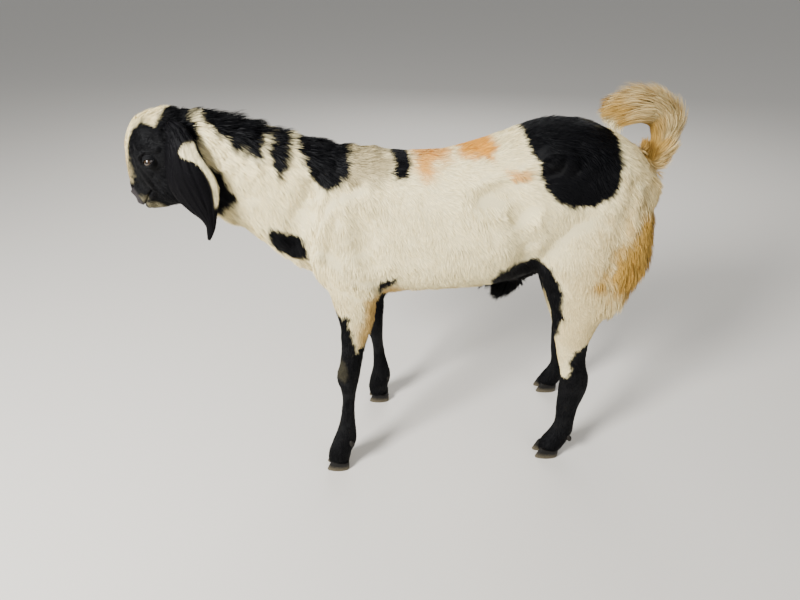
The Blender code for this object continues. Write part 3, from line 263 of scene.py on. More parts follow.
# Later patches lie over earlier ones
PATCHES = (
    Patch(Tone.GOLD, ((-0.22, 0.52), (-0.127, 0.505), (-0.016, 0.49), (0.06, 0.5), (0.1, 0.48), (0.1, 0.38),
          (-0.22, 0.38)), strength=0.38, edge=0.03),
    # Thigh gold: the hair's own tint on the rear and lower thigh; its front and top are left cream as a
    # painted highlight
    Patch(Tone.GOLD, ((0.24, 0.62), (0.3, 0.7), (0.34, 0.8), (0.38, 0.82), (0.5, 0.76), (0.48, 0.42),
          (0.36, 0.3), (0.2, 0.34), (0.19, 0.5)), strength=0.34, edge=0.05, fray=0.03),
    Patch(Tone.GOLD, ((-0.42, 0.6), (-0.34, 0.55), (-0.24, 0.53), (-0.2, 0.5), (-0.24, 0.36), (-0.4, 0.4)),
          strength=0.14, edge=0.04, fray=0.03),
    Patch(Tone.BLACK, ((-0.8, 0.6), (-0.6, 0.66), (-0.53, 0.712), (-0.513, 0.722), (-0.516, 0.752),
          (-0.533, 0.778), (-0.555, 0.805), (-0.565, 0.83), (-0.572, 0.855), (-0.577, 0.883),
          (-0.592, 0.906), (-0.6, 0.95), (-0.8, 0.95))),
    Patch(Tone.CREAM, ((-0.76, 0.752), (-0.7375, 0.762), (-0.7335, 0.785), (-0.728, 0.803), (-0.722, 0.82),
          (-0.716, 0.838), (-0.708, 0.858), (-0.698, 0.874), (-0.683, 0.887), (-0.662, 0.889),
          (-0.654, 0.885), (-0.648, 0.892), (-0.641, 0.9), (-0.634, 0.908), (-0.634, 0.96), (-0.76, 0.96)),
          fray=0.006),
    Patch(Tone.GOLD, ((-0.76, 0.85), (-0.734, 0.842), (-0.727, 0.825), (-0.728, 0.8), (-0.733, 0.775),
          (-0.76, 0.745)), strength=0.8, fray=0.014, edge=0.018),
    Patch(Tone.CREAM, ((-0.716, 0.726), (-0.709, 0.733), (-0.701, 0.736), (-0.696, 0.731), (-0.699, 0.724),
          (-0.709, 0.718)), strength=0.13, fray=0.008, edge=0.006),
    Patch(Tone.CREAM, ((-0.704, 0.714), (-0.694, 0.716), (-0.682, 0.709), (-0.672, 0.698), (-0.68, 0.685),
          (-0.705, 0.685)), strength=0.18, fray=0.008, edge=0.008),
    Patch(Tone.BLACK, ((-0.606, 0.96), (-0.604, 0.906), (-0.582, 0.896), (-0.56, 0.884), (-0.548, 0.872),
          (-0.531, 0.858), (-0.512, 0.845), (-0.495, 0.829), (-0.476, 0.818), (-0.456, 0.812),
          (-0.443, 0.83), (-0.441, 0.859), (-0.428, 0.856), (-0.42, 0.875), (-0.42, 0.96)), fray=0.01,
          edge=0.007),
    Patch(Tone.BLACK, ((-0.43, 0.852), (-0.424, 0.9), (-0.392, 0.9), (-0.391, 0.838), (-0.397, 0.808),
          (-0.406, 0.79), (-0.422, 0.789), (-0.434, 0.806), (-0.436, 0.83)), fray=0.006, edge=0.005),
    Patch(Tone.TAN, ((-0.285, 0.766), (-0.218, 0.762), (-0.183, 0.77), (-0.18, 0.9), (-0.27, 0.9)),
          strength=0.85, edge=0.014, fray=0.014),
    Patch(Tone.BLACK, ((-0.388, 0.842), (-0.383, 0.829), (-0.368, 0.802), (-0.35, 0.775), (-0.335, 0.753),
          (-0.315, 0.745), (-0.296, 0.757), (-0.275, 0.778), (-0.264, 0.806), (-0.268, 0.84), (-0.275, 0.9),
          (-0.36, 0.9)), fray=0.006),
    Patch(Tone.BLACK, ((-0.182, 0.9), (-0.181, 0.795), (-0.174, 0.77), (-0.163, 0.764), (-0.151, 0.77),
          (-0.142, 0.791), (-0.142, 0.9)), fray=0.005),
    Patch(Tone.ORANGE, ((-0.132, 0.9), (-0.134, 0.776), (-0.125, 0.765), (-0.099, 0.77), (-0.092, 0.791),
          (-0.056, 0.8), (-0.05, 0.9)), strength=0.88, edge=0.014),
    Patch(Tone.ORANGE, ((-0.036, 0.9), (-0.034, 0.806), (-0.006, 0.803), (0.033, 0.806), (0.042, 0.9)),
          strength=1.0, edge=0.01),
    Patch(Tone.ORANGE, ((0.05, 0.786), (0.102, 0.788), (0.104, 0.774), (0.062, 0.772)), strength=0.8,
          edge=0.008),
    Patch(Tone.BLACK, ((0.095, 0.92), (0.097, 0.85), (0.1, 0.833), (0.112, 0.809), (0.12, 0.783),
          (0.131, 0.759), (0.16, 0.734), (0.199, 0.716), (0.244, 0.712), (0.278, 0.728), (0.294, 0.758),
          (0.301, 0.793), (0.311, 0.822), (0.303, 0.842), (0.285, 0.92)), fray=0.007),
    Patch(Tone.BLACK, ((-0.462, 0.65), (-0.438, 0.658), (-0.405, 0.652), (-0.386, 0.644), (-0.376, 0.585),
          (-0.399, 0.58), (-0.431, 0.59), (-0.462, 0.61)), fray=0.007),
    Patch(Tone.BLACK, ((-0.214, 0.548), (-0.188, 0.557), (-0.178, 0.549), (-0.192, 0.516), (-0.216, 0.5)),
          fray=0.005),
    Patch(Tone.GOLD, ((-0.205, 0.505), (-0.228, 0.512), (-0.244, 0.5), (-0.256, 0.47), (-0.268, 0.42),
          (-0.272, 0.36), (-0.252, 0.36), (-0.23, 0.4), (-0.2, 0.44), (-0.165, 0.5), (-0.175, 0.52)),
          strength=0.75, edge=0.014),
    Patch(Tone.BLACK, ((-0.42, 0.47), (-0.312, 0.468), (-0.292, 0.46), (-0.277, 0.42), (-0.274, 0.366),
          (-0.264, 0.366), (-0.246, 0.392), (-0.228, 0.412), (-0.18, 0.43), (-0.06, 0.33), (-0.06, -0.05),
          (-0.45, -0.05)), fray=0.009),
    Patch(Tone.BLACK, ((-0.42, 0.5), (-0.3, 0.49), (-0.15, 0.5), (-0.15, 0.3), (-0.42, 0.3)),
          side=Side.RIGHT, fray=0.012),
    Patch(Tone.TAN, ((-0.332, 0.336), (-0.306, 0.338), (-0.297, 0.312), (-0.306, 0.288), (-0.332, 0.292)),
          strength=0.04, edge=0.01),
    Patch(Tone.BLACK, ((0.048, 0.572), (0.095, 0.58), (0.135, 0.586), (0.162, 0.574), (0.184, 0.538),
          (0.202, 0.489), (0.212, 0.439), (0.214, 0.385), (0.2, 0.36), (0.12, 0.36), (0.09, 0.42),
          (0.05, 0.46), (0.04, 0.51)), fray=0.007),
    Patch(Tone.BLACK, ((0.1, 0.25), (0.236, 0.256), (0.252, 0.262), (0.25, 0.315), (0.256, 0.34),
          (0.279, 0.348), (0.36, 0.352), (0.45, 0.3), (0.45, -0.05), (0.05, -0.05)), fray=0.009),
    Patch(Tone.GOLD, ((0.435, 0.735), (0.398, 0.715), (0.36, 0.67), (0.46, 0.64), (0.46, 0.735)),
          strength=0.55, fray=0.035, edge=0.035),
    Patch(Tone.GOLD, ((0.405, 0.69), (0.375, 0.68), (0.348, 0.655), (0.32, 0.617), (0.292, 0.57),
          (0.284, 0.535), (0.296, 0.514), (0.325, 0.504), (0.375, 0.49), (0.46, 0.48), (0.46, 0.65)),
          strength=0.92, fray=0.022, edge=0.024),
    # Tail gold: paler over the outer hair and deeper along the core; the deeper gold is partly the hair's own
    # tone and partly painted shade of the tail's inner hair
    Patch(Tone.GOLD, ((0.395, 0.775), (0.386, 0.8), (0.384, 0.835), (0.35, 0.857), (0.3, 0.872), (0.2, 0.9),
          (0.18, 1.1), (0.62, 1.1), (0.58, 0.76), (0.43, 0.738)), strength=0.46, edge=0.01),
    Patch(Tone.GOLD, ((0.39, 0.775), (0.418, 0.775), (0.43, 0.81), (0.424, 0.85), (0.404, 0.872),
          (0.378, 0.888), (0.335, 0.9), (0.2, 0.915), (0.2, 0.9), (0.3, 0.872), (0.35, 0.857),
          (0.382, 0.835)), strength=0.85, fray=0.012, edge=0.016),
)


class Part(Enum):
    """The parts that the coat is combed and joined by."""

    HEAD = "head"
    NECK = "neck"
    SHOULDER = "shoulder"
    BARREL = "barrel"
    RUMP = "rump"
    THIGH = "thigh"
    FORELEG = "foreleg"
    HINDLEG = "hindleg"
    TAIL = "tail"
    POUCH = "pouch"


@dataclass(frozen=True)
class Comb:
    """How the hair lies at one place: its way, length, stand, depth, width and crowding.

    The place and way have the distance from the middle plane as y, so that one comb serves both
    sides. Length, depth and width are in millimetres, stand in degrees, crowd in tufts a cm2.
    """

    part: Part
    place: tuple[float, float, float]
    way: tuple[float, float, float]
    length: float
    stand: float
    depth: float
    width: float
    crowd: float


# For each part: place, way, length, stand, depth, width, crowd
COMB_ROWS = (
    (Part.HEAD, (
        ((-0.738, 0.0, 0.745), (0.1, 0.3, 1.0), 2.5, 14, 0.4, 0.7, 55),
        ((-0.72, 0.01, 0.712), (0.5, 0.4, 0.3), 2.0, 12, 0.3, 0.6, 40),
        ((-0.74, 0.0, 0.79), (0.15, 0.25, 1.0), 4.5, 14, 1.0, 0.8, 55),
        ((-0.705, 0.036, 0.77), (0.35, 0.0, 0.9), 5.0, 14, 1.0, 0.8, 50),
        ((-0.728, 0.0, 0.85), (0.3, 0.15, 1.0), 9.0, 20, 2.0, 0.9, 50),
        ((-0.69, 0.0, 0.892), (1.0, 0.25, 0.5), 16.0, 26, 3.0, 1.0, 50),
        ((-0.65, 0.0, 0.905), (1.0, 0.2, 0.1), 22.0, 30, 4.0, 1.1, 45),
        ((-0.69, 0.045, 0.85), (0.6, 0.1, 0.6), 7.0, 16, 1.5, 0.9, 50),
        ((-0.673, 0.052, 0.811), (0.7, 0.1, -0.1), 3.0, 10, 0.6, 0.7, 45),
        ((-0.655, 0.045, 0.78), (0.7, 0.0, -0.5), 8.0, 16, 1.5, 0.9, 45),
        ((-0.64, 0.03, 0.735), (0.7, 0.0, -0.6), 12.0, 20, 2.0, 1.0, 45),
        ((-0.68, 0.012, 0.698), (0.9, 0.1, -0.5), 14.0, 32, 2.0, 0.9, 45),
        ((-0.64, 0.01, 0.697), (0.9, 0.1, -0.6), 24.0, 34, 3.0, 1.0, 40),
        ((-0.615, 0.052, 0.84), (0.9, 0.1, -0.4), 12.0, 18, 2.5, 1.0, 40),
    )),
    (Part.NECK, (
        ((-0.595, 0.0, 0.902), (1.0, 0.1, 0.15), 34.0, 36, 8.0, 1.3, 34),
        ((-0.52, 0.0, 0.893), (1.0, 0.15, 0.0), 46.0, 38, 12.0, 1.4, 30),
        ((-0.44, 0.0, 0.868), (1.0, 0.15, -0.1), 44.0, 36, 12.0, 1.4, 30),
        ((-0.36, 0.0, 0.845), (1.0, 0.15, -0.15), 38.0, 30, 11.0, 1.4, 30),
        ((-0.56, 0.05, 0.84), (0.9, 0.1, -0.5), 30.0, 24, 7.0, 1.3, 28),
        ((-0.48, 0.055, 0.83), (0.8, 0.15, -0.65), 36.0, 26, 8.0, 1.4, 26),
        ((-0.4, 0.06, 0.815), (0.8, 0.15, -0.65), 36.0, 24, 8.0, 1.4, 26),
        ((-0.54, 0.062, 0.76), (0.6, 0.1, -0.8), 22.0, 14, 6.0, 1.3, 24),
        ((-0.46, 0.07, 0.73), (0.6, 0.1, -0.8), 22.0, 13, 7.0, 1.3, 22),
        ((-0.58, 0.02, 0.69), (0.7, 0.1, -0.8), 30.0, 30, 4.0, 1.2, 32),
        ((-0.48, 0.025, 0.635), (0.6, 0.1, -0.8), 28.0, 20, 6.0, 1.3, 26),
        ((-0.37, 0.085, 0.7), (0.5, 0.15, -0.9), 24.0, 13, 8.0, 1.4, 20),
    )),
    (Part.SHOULDER, (
        ((-0.28, 0.0, 0.825), (1.0, 0.1, -0.1), 30.0, 20, 9.0, 1.4, 24),
        ((-0.375, 0.0, 0.61), (0.25, 0.1, -1.0), 26.0, 16, 7.0, 1.4, 24),
        ((-0.32, 0.09, 0.72), (0.35, 0.1, -0.95), 24.0, 12, 8.0, 1.4, 20),
        ((-0.29, 0.11, 0.64), (0.25, 0.1, -1.0), 24.0, 12, 8.0, 1.4, 20),
        ((-0.29, 0.115, 0.55), (0.1, 0.1, -1.0), 24.0, 13, 7.0, 1.4, 22),
        ((-0.33, 0.04, 0.5), (0.1, 0.0, -1.0), 26.0, 16, 6.0, 1.3, 24),
    )),
    (Part.BARREL, (
        ((-0.18, 0.0, 0.812), (1.0, 0.05, 0.0), 22.0, 14, 6.0, 1.4, 22),
        ((0.04, 0.0, 0.835), (1.0, 0.05, 0.05), 20.0, 13, 6.0, 1.4, 22),
        ((-0.12, 0.11, 0.77), (0.8, 0.2, -0.6), 22.0, 11, 7.0, 1.4, 20),
        ((-0.16, 0.135, 0.67), (0.45, 0.1, -0.9), 24.0, 11, 8.0, 1.5, 19),
        ((-0.02, 0.15, 0.69), (0.55, 0.1, -0.85), 24.0, 11, 8.0, 1.5, 19),
        ((-0.12, 0.14, 0.56), (0.35, 0.0, -0.95), 26.0, 12, 8.0, 1.5, 20),
        ((0.03, 0.14, 0.57), (0.5, 0.0, -0.85), 26.0, 12, 8.0, 1.5, 20),
        ((0.11, 0.13, 0.64), (0.6, 0.1, -0.75), 24.0, 12, 7.0, 1.4, 20),
        ((-0.1, 0.06, 0.485), (0.95, 0.1, -0.25), 20.0, 14, 5.0, 1.4, 20),
        ((0.04, 0.05, 0.49), (0.95, 0.1, -0.15), 20.0, 14, 5.0, 1.4, 20),
        ((0.09, 0.0, 0.458), (-0.3, 0.0, -1.0), 52.0, 34, 3.0, 1.1, 60),
        ((0.18, 0.0, 0.496), (0.6, 0.1, -0.5), 14.0, 14, 3.0, 1.2, 26),
    )),
    (Part.RUMP, (
        ((0.18, 0.0, 0.87), (1.0, 0.1, 0.0), 25.0, 19, 6.0, 1.3, 24),
        ((0.34, 0.0, 0.83), (1.0, 0.1, -0.6), 22.0, 13, 6.0, 1.3, 24),
        ((0.14, 0.105, 0.8), (0.85, 0.25, -0.4), 20.0, 12, 6.0, 1.3, 22),
        ((0.23, 0.115, 0.78), (0.65, 0.25, -0.7), 22.0, 12, 6.0, 1.4, 22),
        ((0.33, 0.085, 0.76), (0.45, 0.2, -0.9), 24.0, 13, 6.0, 1.4, 22),
        ((0.41, 0.024, 0.728), (0.5, 0.35, -1.0), 30.0, 26, 5.0, 1.3, 28),
    )),
    (Part.THIGH, (
        ((0.2, 0.125, 0.65), (0.45, 0.1, -0.9), 24.0, 12, 7.0, 1.4, 20),
        ((0.29, 0.14, 0.6), (0.35, 0.0, -0.95), 26.0, 13, 7.0, 1.4, 20),
        ((0.23, 0.135, 0.48), (0.2, 0.0, -1.0), 22.0, 12, 5.0, 1.4, 20),
        ((0.15, 0.11, 0.54), (0.3, 0.0, -1.0), 20.0, 13, 4.0, 1.3, 24),
        ((0.41, 0.085, 0.66), (0.15, 0.1, -1.0), 34.0, 22, 7.0, 1.4, 22),
        ((0.398, 0.1, 0.56), (0.1, 0.1, -1.0), 56.0, 24, 8.0, 1.4, 24),
        ((0.352, 0.11, 0.495), (0.08, 0.1, -1.0), 56.0, 24, 7.0, 1.4, 26),
        ((0.322, 0.108, 0.41), (0.05, 0.0, -1.0), 24.0, 16, 5.0, 1.3, 22),
        ((0.28, 0.045, 0.56), (0.1, 0.0, -1.0), 16.0, 13, 3.0, 1.4, 18),
    )),
    (Part.HINDLEG, (
        ((0.265, 0.12, 0.37), (0.15, 0.0, -1.0), 14.0, 12, 3.0, 1.2, 24),
        ((0.285, 0.125, 0.24), (0.0, 0.0, -1.0), 10.0, 12, 2.5, 1.1, 28),
        ((0.308, 0.118, 0.3), (0.1, 0.0, -1.0), 14.0, 20, 2.5, 1.1, 30),
        ((0.265, 0.132, 0.13), (-0.1, 0.0, -1.0), 9.0, 14, 2.0, 1.0, 30),
        ((0.268, 0.132, 0.08), (0.0, 0.0, -1.0), 11.0, 14, 2.0, 1.0, 34),
        ((0.21, 0.14, 0.042), (-0.3, 0.0, -1.0), 15.0, 12, 1.5, 1.1, 48),
        ((0.262, 0.14, 0.036), (0.1, 0.0, -1.0), 15.0, 14, 1.5, 1.1, 48),
    )),
    (Part.FORELEG, (
        ((-0.275, 0.115, 0.46), (0.1, 0.0, -1.0), 22.0, 14, 5.0, 1.3, 24),
        ((-0.232, 0.105, 0.44), (0.15, 0.0, -1.0), 28.0, 24, 4.0, 1.2, 28),
        ((-0.29, 0.112, 0.35), (0.0, 0.0, -1.0), 11.0, 12, 3.0, 1.1, 28),
        ((-0.256, 0.112, 0.35), (0.1, 0.0, -1.0), 18.0, 24, 3.0, 1.1, 30),
        ((-0.295, 0.12, 0.24), (0.0, 0.0, -1.0), 9.0, 12, 2.5, 1.0, 30),
        ((-0.31, 0.13, 0.12), (-0.1, 0.0, -1.0), 8.0, 14, 2.0, 1.0, 30),
        ((-0.31, 0.135, 0.085), (-0.1, 0.0, -1.0), 11.0, 14, 2.0, 1.0, 34),
        ((-0.352, 0.137, 0.042), (-0.3, 0.0, -1.0), 15.0, 12, 1.5, 1.1, 48),
        ((-0.302, 0.137, 0.036), (0.1, 0.0, -1.0), 15.0, 14, 1.5, 1.1, 48),
    )),
    (Part.POUCH, (
        ((0.31, 0.0, 0.47), (0.05, 0.0, -1.0), 10.0, 14, 2.0, 1.2, 18),
    )),
    (Part.RUMP, (
        ((0.38, 0.025, 0.8), (1.0, 0.3, -0.7), 16.0, 10, 5.0, 1.3, 24),
    )),
    (Part.TAIL, (
        ((0.396, 0.0, 0.79), (0.1, 0.1, 1.0), 44.0, 12, 3.0, 1.2, 50),
        ((0.394, 0.0, 0.825), (-0.3, 0.1, 1.0), 60.0, 18, 3.0, 1.2, 54),
        ((0.426, 0.0, 0.75), (1.0, 0.3, 0.3), 44.0, 44, 3.0, 1.2, 54),
        ((0.434, 0.0, 0.78), (0.8, 0.15, 0.9), 52.0, 40, 3.0, 1.2, 56),
        ((0.44, 0.0, 0.815), (0.3, 0.1, 1.0), 82.0, 34, 4.0, 1.2, 60),
        ((0.433, 0.0, 0.86), (-0.45, 0.1, 0.9), 90.0, 26, 4.0, 1.2, 60),
        ((0.4, 0.0, 0.896), (-1.0, 0.1, 0.25), 90.0, 22, 4.0, 1.2, 60),
        ((0.356, 0.0, 0.91), (-1.0, 0.05, 0.02), 84.0, 16, 4.0, 1.2, 60),
        ((0.393, 0.0, 0.85), (-0.8, 0.1, 0.5), 84.0, 28, 3.0, 1.2, 60),
        ((0.385, 0.0, 0.855), (-1.0, 0.1, -0.1), 90.0, 34, 3.0, 1.2, 60),
        ((0.35, 0.0, 0.874), (-1.0, 0.05, -0.7), 80.0, 32, 3.0, 1.2, 60),
        ((0.316, 0.0, 0.894), (-1.0, 0.0, -0.3), 64.0, 20, 3.0, 1.2, 60),
    )),
)
COMBS = tuple(Comb(part, *row) for part, rows in COMB_ROWS for row in rows)


@dataclass(frozen=True)
class Stroke:
    """One pass of the modelling tool over the skin: a path of (x, |y|, z), its reach and its rise.

    A pass that goes across runs right round the head, from one side of the face to the other.
    """

    path: tuple[tuple[float, float, float], ...]
    reach: float
    rise: float
    across: bool = False


BODY_STROKES = (
    Stroke(((0.000, 0.118, 0.780), (0.070, 0.116, 0.790), (0.145, 0.108, 0.806)), 0.026, 0.012),  # loin
    Stroke(((0.145, 0.100, 0.822), (0.175, 0.100, 0.808)), 0.036, 0.012),  # hip bone
    Stroke(((0.010, 0.136, 0.748), (0.055, 0.132, 0.742), (0.088, 0.128, 0.715)), 0.045, -0.015),  # flank
    Stroke(((0.080, 0.130, 0.690), (0.098, 0.132, 0.640), (0.110, 0.130, 0.590)), 0.050, -0.009),
    Stroke(((-0.310, 0.090, 0.780), (-0.336, 0.102, 0.700), (-0.352, 0.105, 0.620)), 0.032, 0.012),
    Stroke(((-0.345, 0.080, 0.790), (-0.380, 0.085, 0.705), (-0.402, 0.070, 0.630)), 0.036, -0.009),
    Stroke(((-0.262, 0.095, 0.760), (-0.255, 0.115, 0.680), (-0.235, 0.125, 0.600)), 0.034, -0.006),
    Stroke(((-0.345, 0.108, 0.610), (-0.300, 0.125, 0.560), (-0.240, 0.120, 0.530)), 0.026, 0.005),
    Stroke(((0.120, 0.135, 0.620), (0.140, 0.130, 0.570), (0.165, 0.125, 0.520)), 0.026, 0.005),
    Stroke(((0.330, 0.110, 0.760), (0.315, 0.135, 0.660), (0.300, 0.145, 0.560)), 0.028, -0.004),
    Stroke(((0.300, 0.130, 0.380), (0.312, 0.125, 0.320)), 0.014, -0.005),  # before the hock tendon
    Stroke(((0.320, 0.118, 0.300), (0.324, 0.118, 0.268)), 0.016, 0.004),  # point of hock
    Stroke(((-0.322, 0.118, 0.300), (-0.322, 0.120, 0.272)), 0.018, 0.003),  # knee
    Stroke(((-0.298, 0.142, 0.220), (-0.302, 0.146, 0.150)), 0.009, -0.002),  # beside the tendon
    Stroke(((0.284, 0.142, 0.205), (0.276, 0.146, 0.150)), 0.009, -0.002),
    Stroke(((-0.400, 0.065, 0.560), (-0.470, 0.050, 0.612), (-0.540, 0.042, 0.665)), 0.022, -0.004),
)
FACE_STROKES = (
    Stroke(((-0.705, 0.036, 0.835), (-0.701, 0.038, 0.800), (-0.690, 0.038, 0.768),
            (-0.680, 0.037, 0.748)), 0.0080, 0.0024),  # crest of the cheek
    Stroke(((-0.712, 0.036, 0.812), (-0.716, 0.034, 0.780), (-0.712, 0.034, 0.757)), 0.012, -0.0034),
    Stroke(((-0.664, 0.044, 0.770), (-0.650, 0.044, 0.750), (-0.640, 0.038, 0.728)), 0.016, 0.0026),
    Stroke(((-0.695, 0.047, 0.843), (-0.678, 0.052, 0.847), (-0.656, 0.052, 0.838)), 0.011, 0.0036),
    Stroke(((-0.690, 0.050, 0.829), (-0.673, 0.054, 0.832), (-0.655, 0.052, 0.824)), 0.0028, -0.0014),
    Stroke(((-0.690, 0.049, 0.795), (-0.676, 0.052, 0.790), (-0.660, 0.051, 0.796)), 0.0030, -0.0012),
    Stroke(((-0.694, 0.048, 0.803), (-0.703, 0.044, 0.794), (-0.708, 0.040, 0.783)), 0.0034, -0.0014),
    Stroke(((-0.734, 0.0, 0.800), (-0.736, 0.0, 0.770)), 0.010, 0.0020),  # bridge of the nose
    Stroke(((-0.6930, 0.0, 0.7480), (-0.7060, 0.0, 0.7350), (-0.7120, 0.0, 0.7230),
            (-0.7170, 0.0, 0.7130)), 0.0070, 0.0016, True),  # upper lip
    Stroke(((-0.6860, 0.0, 0.7370), (-0.6970, 0.0, 0.7220), (-0.7050, 0.0, 0.7060),
            (-0.7110, 0.0, 0.7000)), 0.0065, 0.0018, True),  # lower lip
    Stroke(((-0.6890, 0.0, 0.7450), (-0.7010, 0.0, 0.7300), (-0.7080, 0.0, 0.7170),
            (-0.7140, 0.0, 0.7075), (-0.7230, 0.0, 0.7000)), 0.0024, -0.0040, True),  # mouth line
    Stroke(((-0.7280, 0.020, 0.7600), (-0.7350, 0.0185, 0.7540), (-0.7390, 0.0170, 0.7450),
            (-0.7380, 0.0160, 0.7350)), 0.0070, 0.0024),  # nostril wing
    Stroke(((-0.7290, 0.0230, 0.7520), (-0.7350, 0.0190, 0.7470), (-0.7385, 0.0140, 0.7400),
            (-0.7370, 0.0105, 0.7345)), 0.0032, -0.0064),  # nostril
    Stroke(((-0.7420, 0.0, 0.7420), (-0.7370, 0.0, 0.7280), (-0.7290, 0.0, 0.7140)), 0.0022, -0.0018),
)
BARE_NOSE = Patch(Tone.CREAM, ((-0.76, 0.752), (-0.732, 0.756), (-0.722, 0.738), (-0.718, 0.722),
                               (-0.712, 0.708), (-0.712, 0.68), (-0.76, 0.68)), fray=0.002)


def linear(code: str) -> tuple[float, float, float, float]:
    """Turns an sRGB hex colour into a linear one.

    Args:
        code: Six hex digits.

    Returns:
        Linear red, green and blue, and an alpha of one.
    """
    values = [int(code[place:place + 2], 16) / 255 for place in (0, 2, 4)]
    lit = [v / 12.92 if v <= 0.04045 else ((v + 0.055) / 1.055) ** 2.4 for v in values]
    return (*lit, 1.0)


def add_node(tree: NodeTree, kind: str, settings: dict | None = None, links: dict | None = None) -> Node:
    """Adds one node to a material.

    Args:
        tree: The material's node tree.
        kind: The node's type name.
        settings: Values by property or input name.
        links: Output sockets by input name or index.

    Returns:
        The new node.
    """
    node = tree.nodes.new(kind)
    for name, value in (settings or {}).items():
        if isinstance(name, int) or (not hasattr(node, name) and name in node.inputs):
            node.inputs[name].default_value = value
        else:
            setattr(node, name, value)
    for name, socket in (links or {}).items():
        tree.links.new(socket, node.inputs[name])
    return node


def new_material(name: str, values: dict[str, float]) -> tuple[Material, NodeTree, NodeInputs]:
    """Starts a material.

    Args:
        name: Its name.
        values: Constant numbers by the name of the shader's socket.

    Returns:
        The material, its node tree and its shader's sockets.
    """
    material = bpy.data.materials.new(name)
    material.use_nodes = True
    sockets = material.node_tree.nodes["Principled BSDF"].inputs
    for socket, value in values.items():
        sockets[socket].default_value = value
    return material, material.node_tree, sockets


def fade(tree: NodeTree, amount: NodeSocket, colours: tuple, start: float, end: float) -> NodeSocket:
    """Turns one colour into another as a value goes from start to end.

    Args:
        tree: The material's node tree.
        amount: The value.
        colours: The first and the last colour, each a socket or hex digits.
        start: Where the first colour ends.
        end: Where the last colour begins.

    Returns:
        The socket of the colour.
    """
    ramp = add_node(tree, "ShaderNodeMapRange", {"From Min": start, "From Max": end}, {0: amount})
    mix = add_node(tree, "ShaderNodeMix", {"data_type": "RGBA"}, {"Factor": ramp.outputs[0]})
    for name, colour in zip("AB", colours):
        if isinstance(colour, str):
            mix.inputs[name].default_value = linear(colour)
        else:
            tree.links.new(colour, mix.inputs[name])
    return mix.outputs["Result"]


def smooth_rows(rows: tuple, steps: int) -> Array:
    """Joins rows of numbers by a Catmull-Rom curve.

    Args:
        rows: The rows that the curve passes through.
        steps: How many places lie between each two rows.

    Returns:
        The rows of the smooth curve.
    """
    table = np.array(rows, float)
    ends = np.vstack([2 * table[0] - table[1], table, 2 * table[-1] - table[-2]])
    made = []
    for first in range(len(table) - 1):
        a, b, c, d = ends[first:first + 4]
        for t in np.arange(steps) / steps:
            made.append(0.5 * (2 * b + (c - a) * t + (2 * a - 5 * b + 4 * c - d) * t**2
                               + (3 * b - a - 3 * c + d) * t**3))
    made.append(table[-1])
    return np.array(made)


def unit(vectors: Array) -> Array:
    """Scales each row to a length of one."""
    return vectors / np.maximum(np.linalg.norm(vectors, axis=-1, keepdims=True), 1e-9)


def smoothstep(low: float, high: float, values: Array) -> Array:
    """Turns values smoothly from 0 at low to 1 at high."""
    t = np.clip((values - low) / (high - low), 0.0, 1.0)
    return t * t * (3.0 - 2.0 * t)


def from_segment(places: Array, start: Array, end: Array) -> Array:
    """Gives the distance of each place from a straight line between two points.

    Args:
        places: The places.
        start: One end of the line.
        end: The other end.

    Returns:
        One distance for each place.
    """
    along = end - start
    t = np.clip(((places - start) @ along) / (along @ along), 0, 1)
    return np.linalg.norm(places - start - t[:, None] * along, axis=1)


def leaned(points: Array) -> Array:
    """Folds points of both sides onto the left side as it stands.

    Args:
        points: Places on the goat.

    Returns:
        The places with y as the distance from the middle, and the right legs set where the left are.
    """
    folded = points.copy()
    lean = np.clip(1.0 - points[:, 2] / LEG_TOP, 0.0, 1.0) ** LEG_BEND * (points[:, 1] > LEG_INNER)
    reach = np.where(points[:, 0] < LEGS_PART, REACH["fore"]["right"], REACH["hind"]["right"])
    folded[:, 0] -= reach * lean * smoothstep(*LEAN_FADE, points[:, 2])
    folded[:, 1] = np.abs(points[:, 1])
    return folded


def foot_y(leg: str, side: str) -> float:
    """Gives how far to the side a foot stands."""
    return -FOOT_Y[leg] if side == "left" else FOOT_Y[leg] * RIGHT_LEG_Y


@dataclass(frozen=True)
class Grain:
    """Soft random values in space, the same on every run."""

    seed: int
    size: int = 32

    def at(self, points: Array, scale: float) -> Array:
        """Gives a value from 0 to 1 at each point.

        Args:
            points: Places in metres.
            scale: The distance over which the values change.

        Returns:
            One value for each point.
        """
        lattice = np.random.default_rng(self.seed).random((self.size,) * 3)
        where = points / scale
        cell = np.floor(where).astype(int)
        t = where - cell
        t = t * t * (3 - 2 * t)
        total = np.zeros(len(points))
        for corner in np.ndindex(2, 2, 2):
            share = np.prod(np.where(corner, t, 1 - t), axis=1)
            index = (cell + corner) % self.size
            total += share * lattice[index[:, 0], index[:, 1], index[:, 2]]
        return total


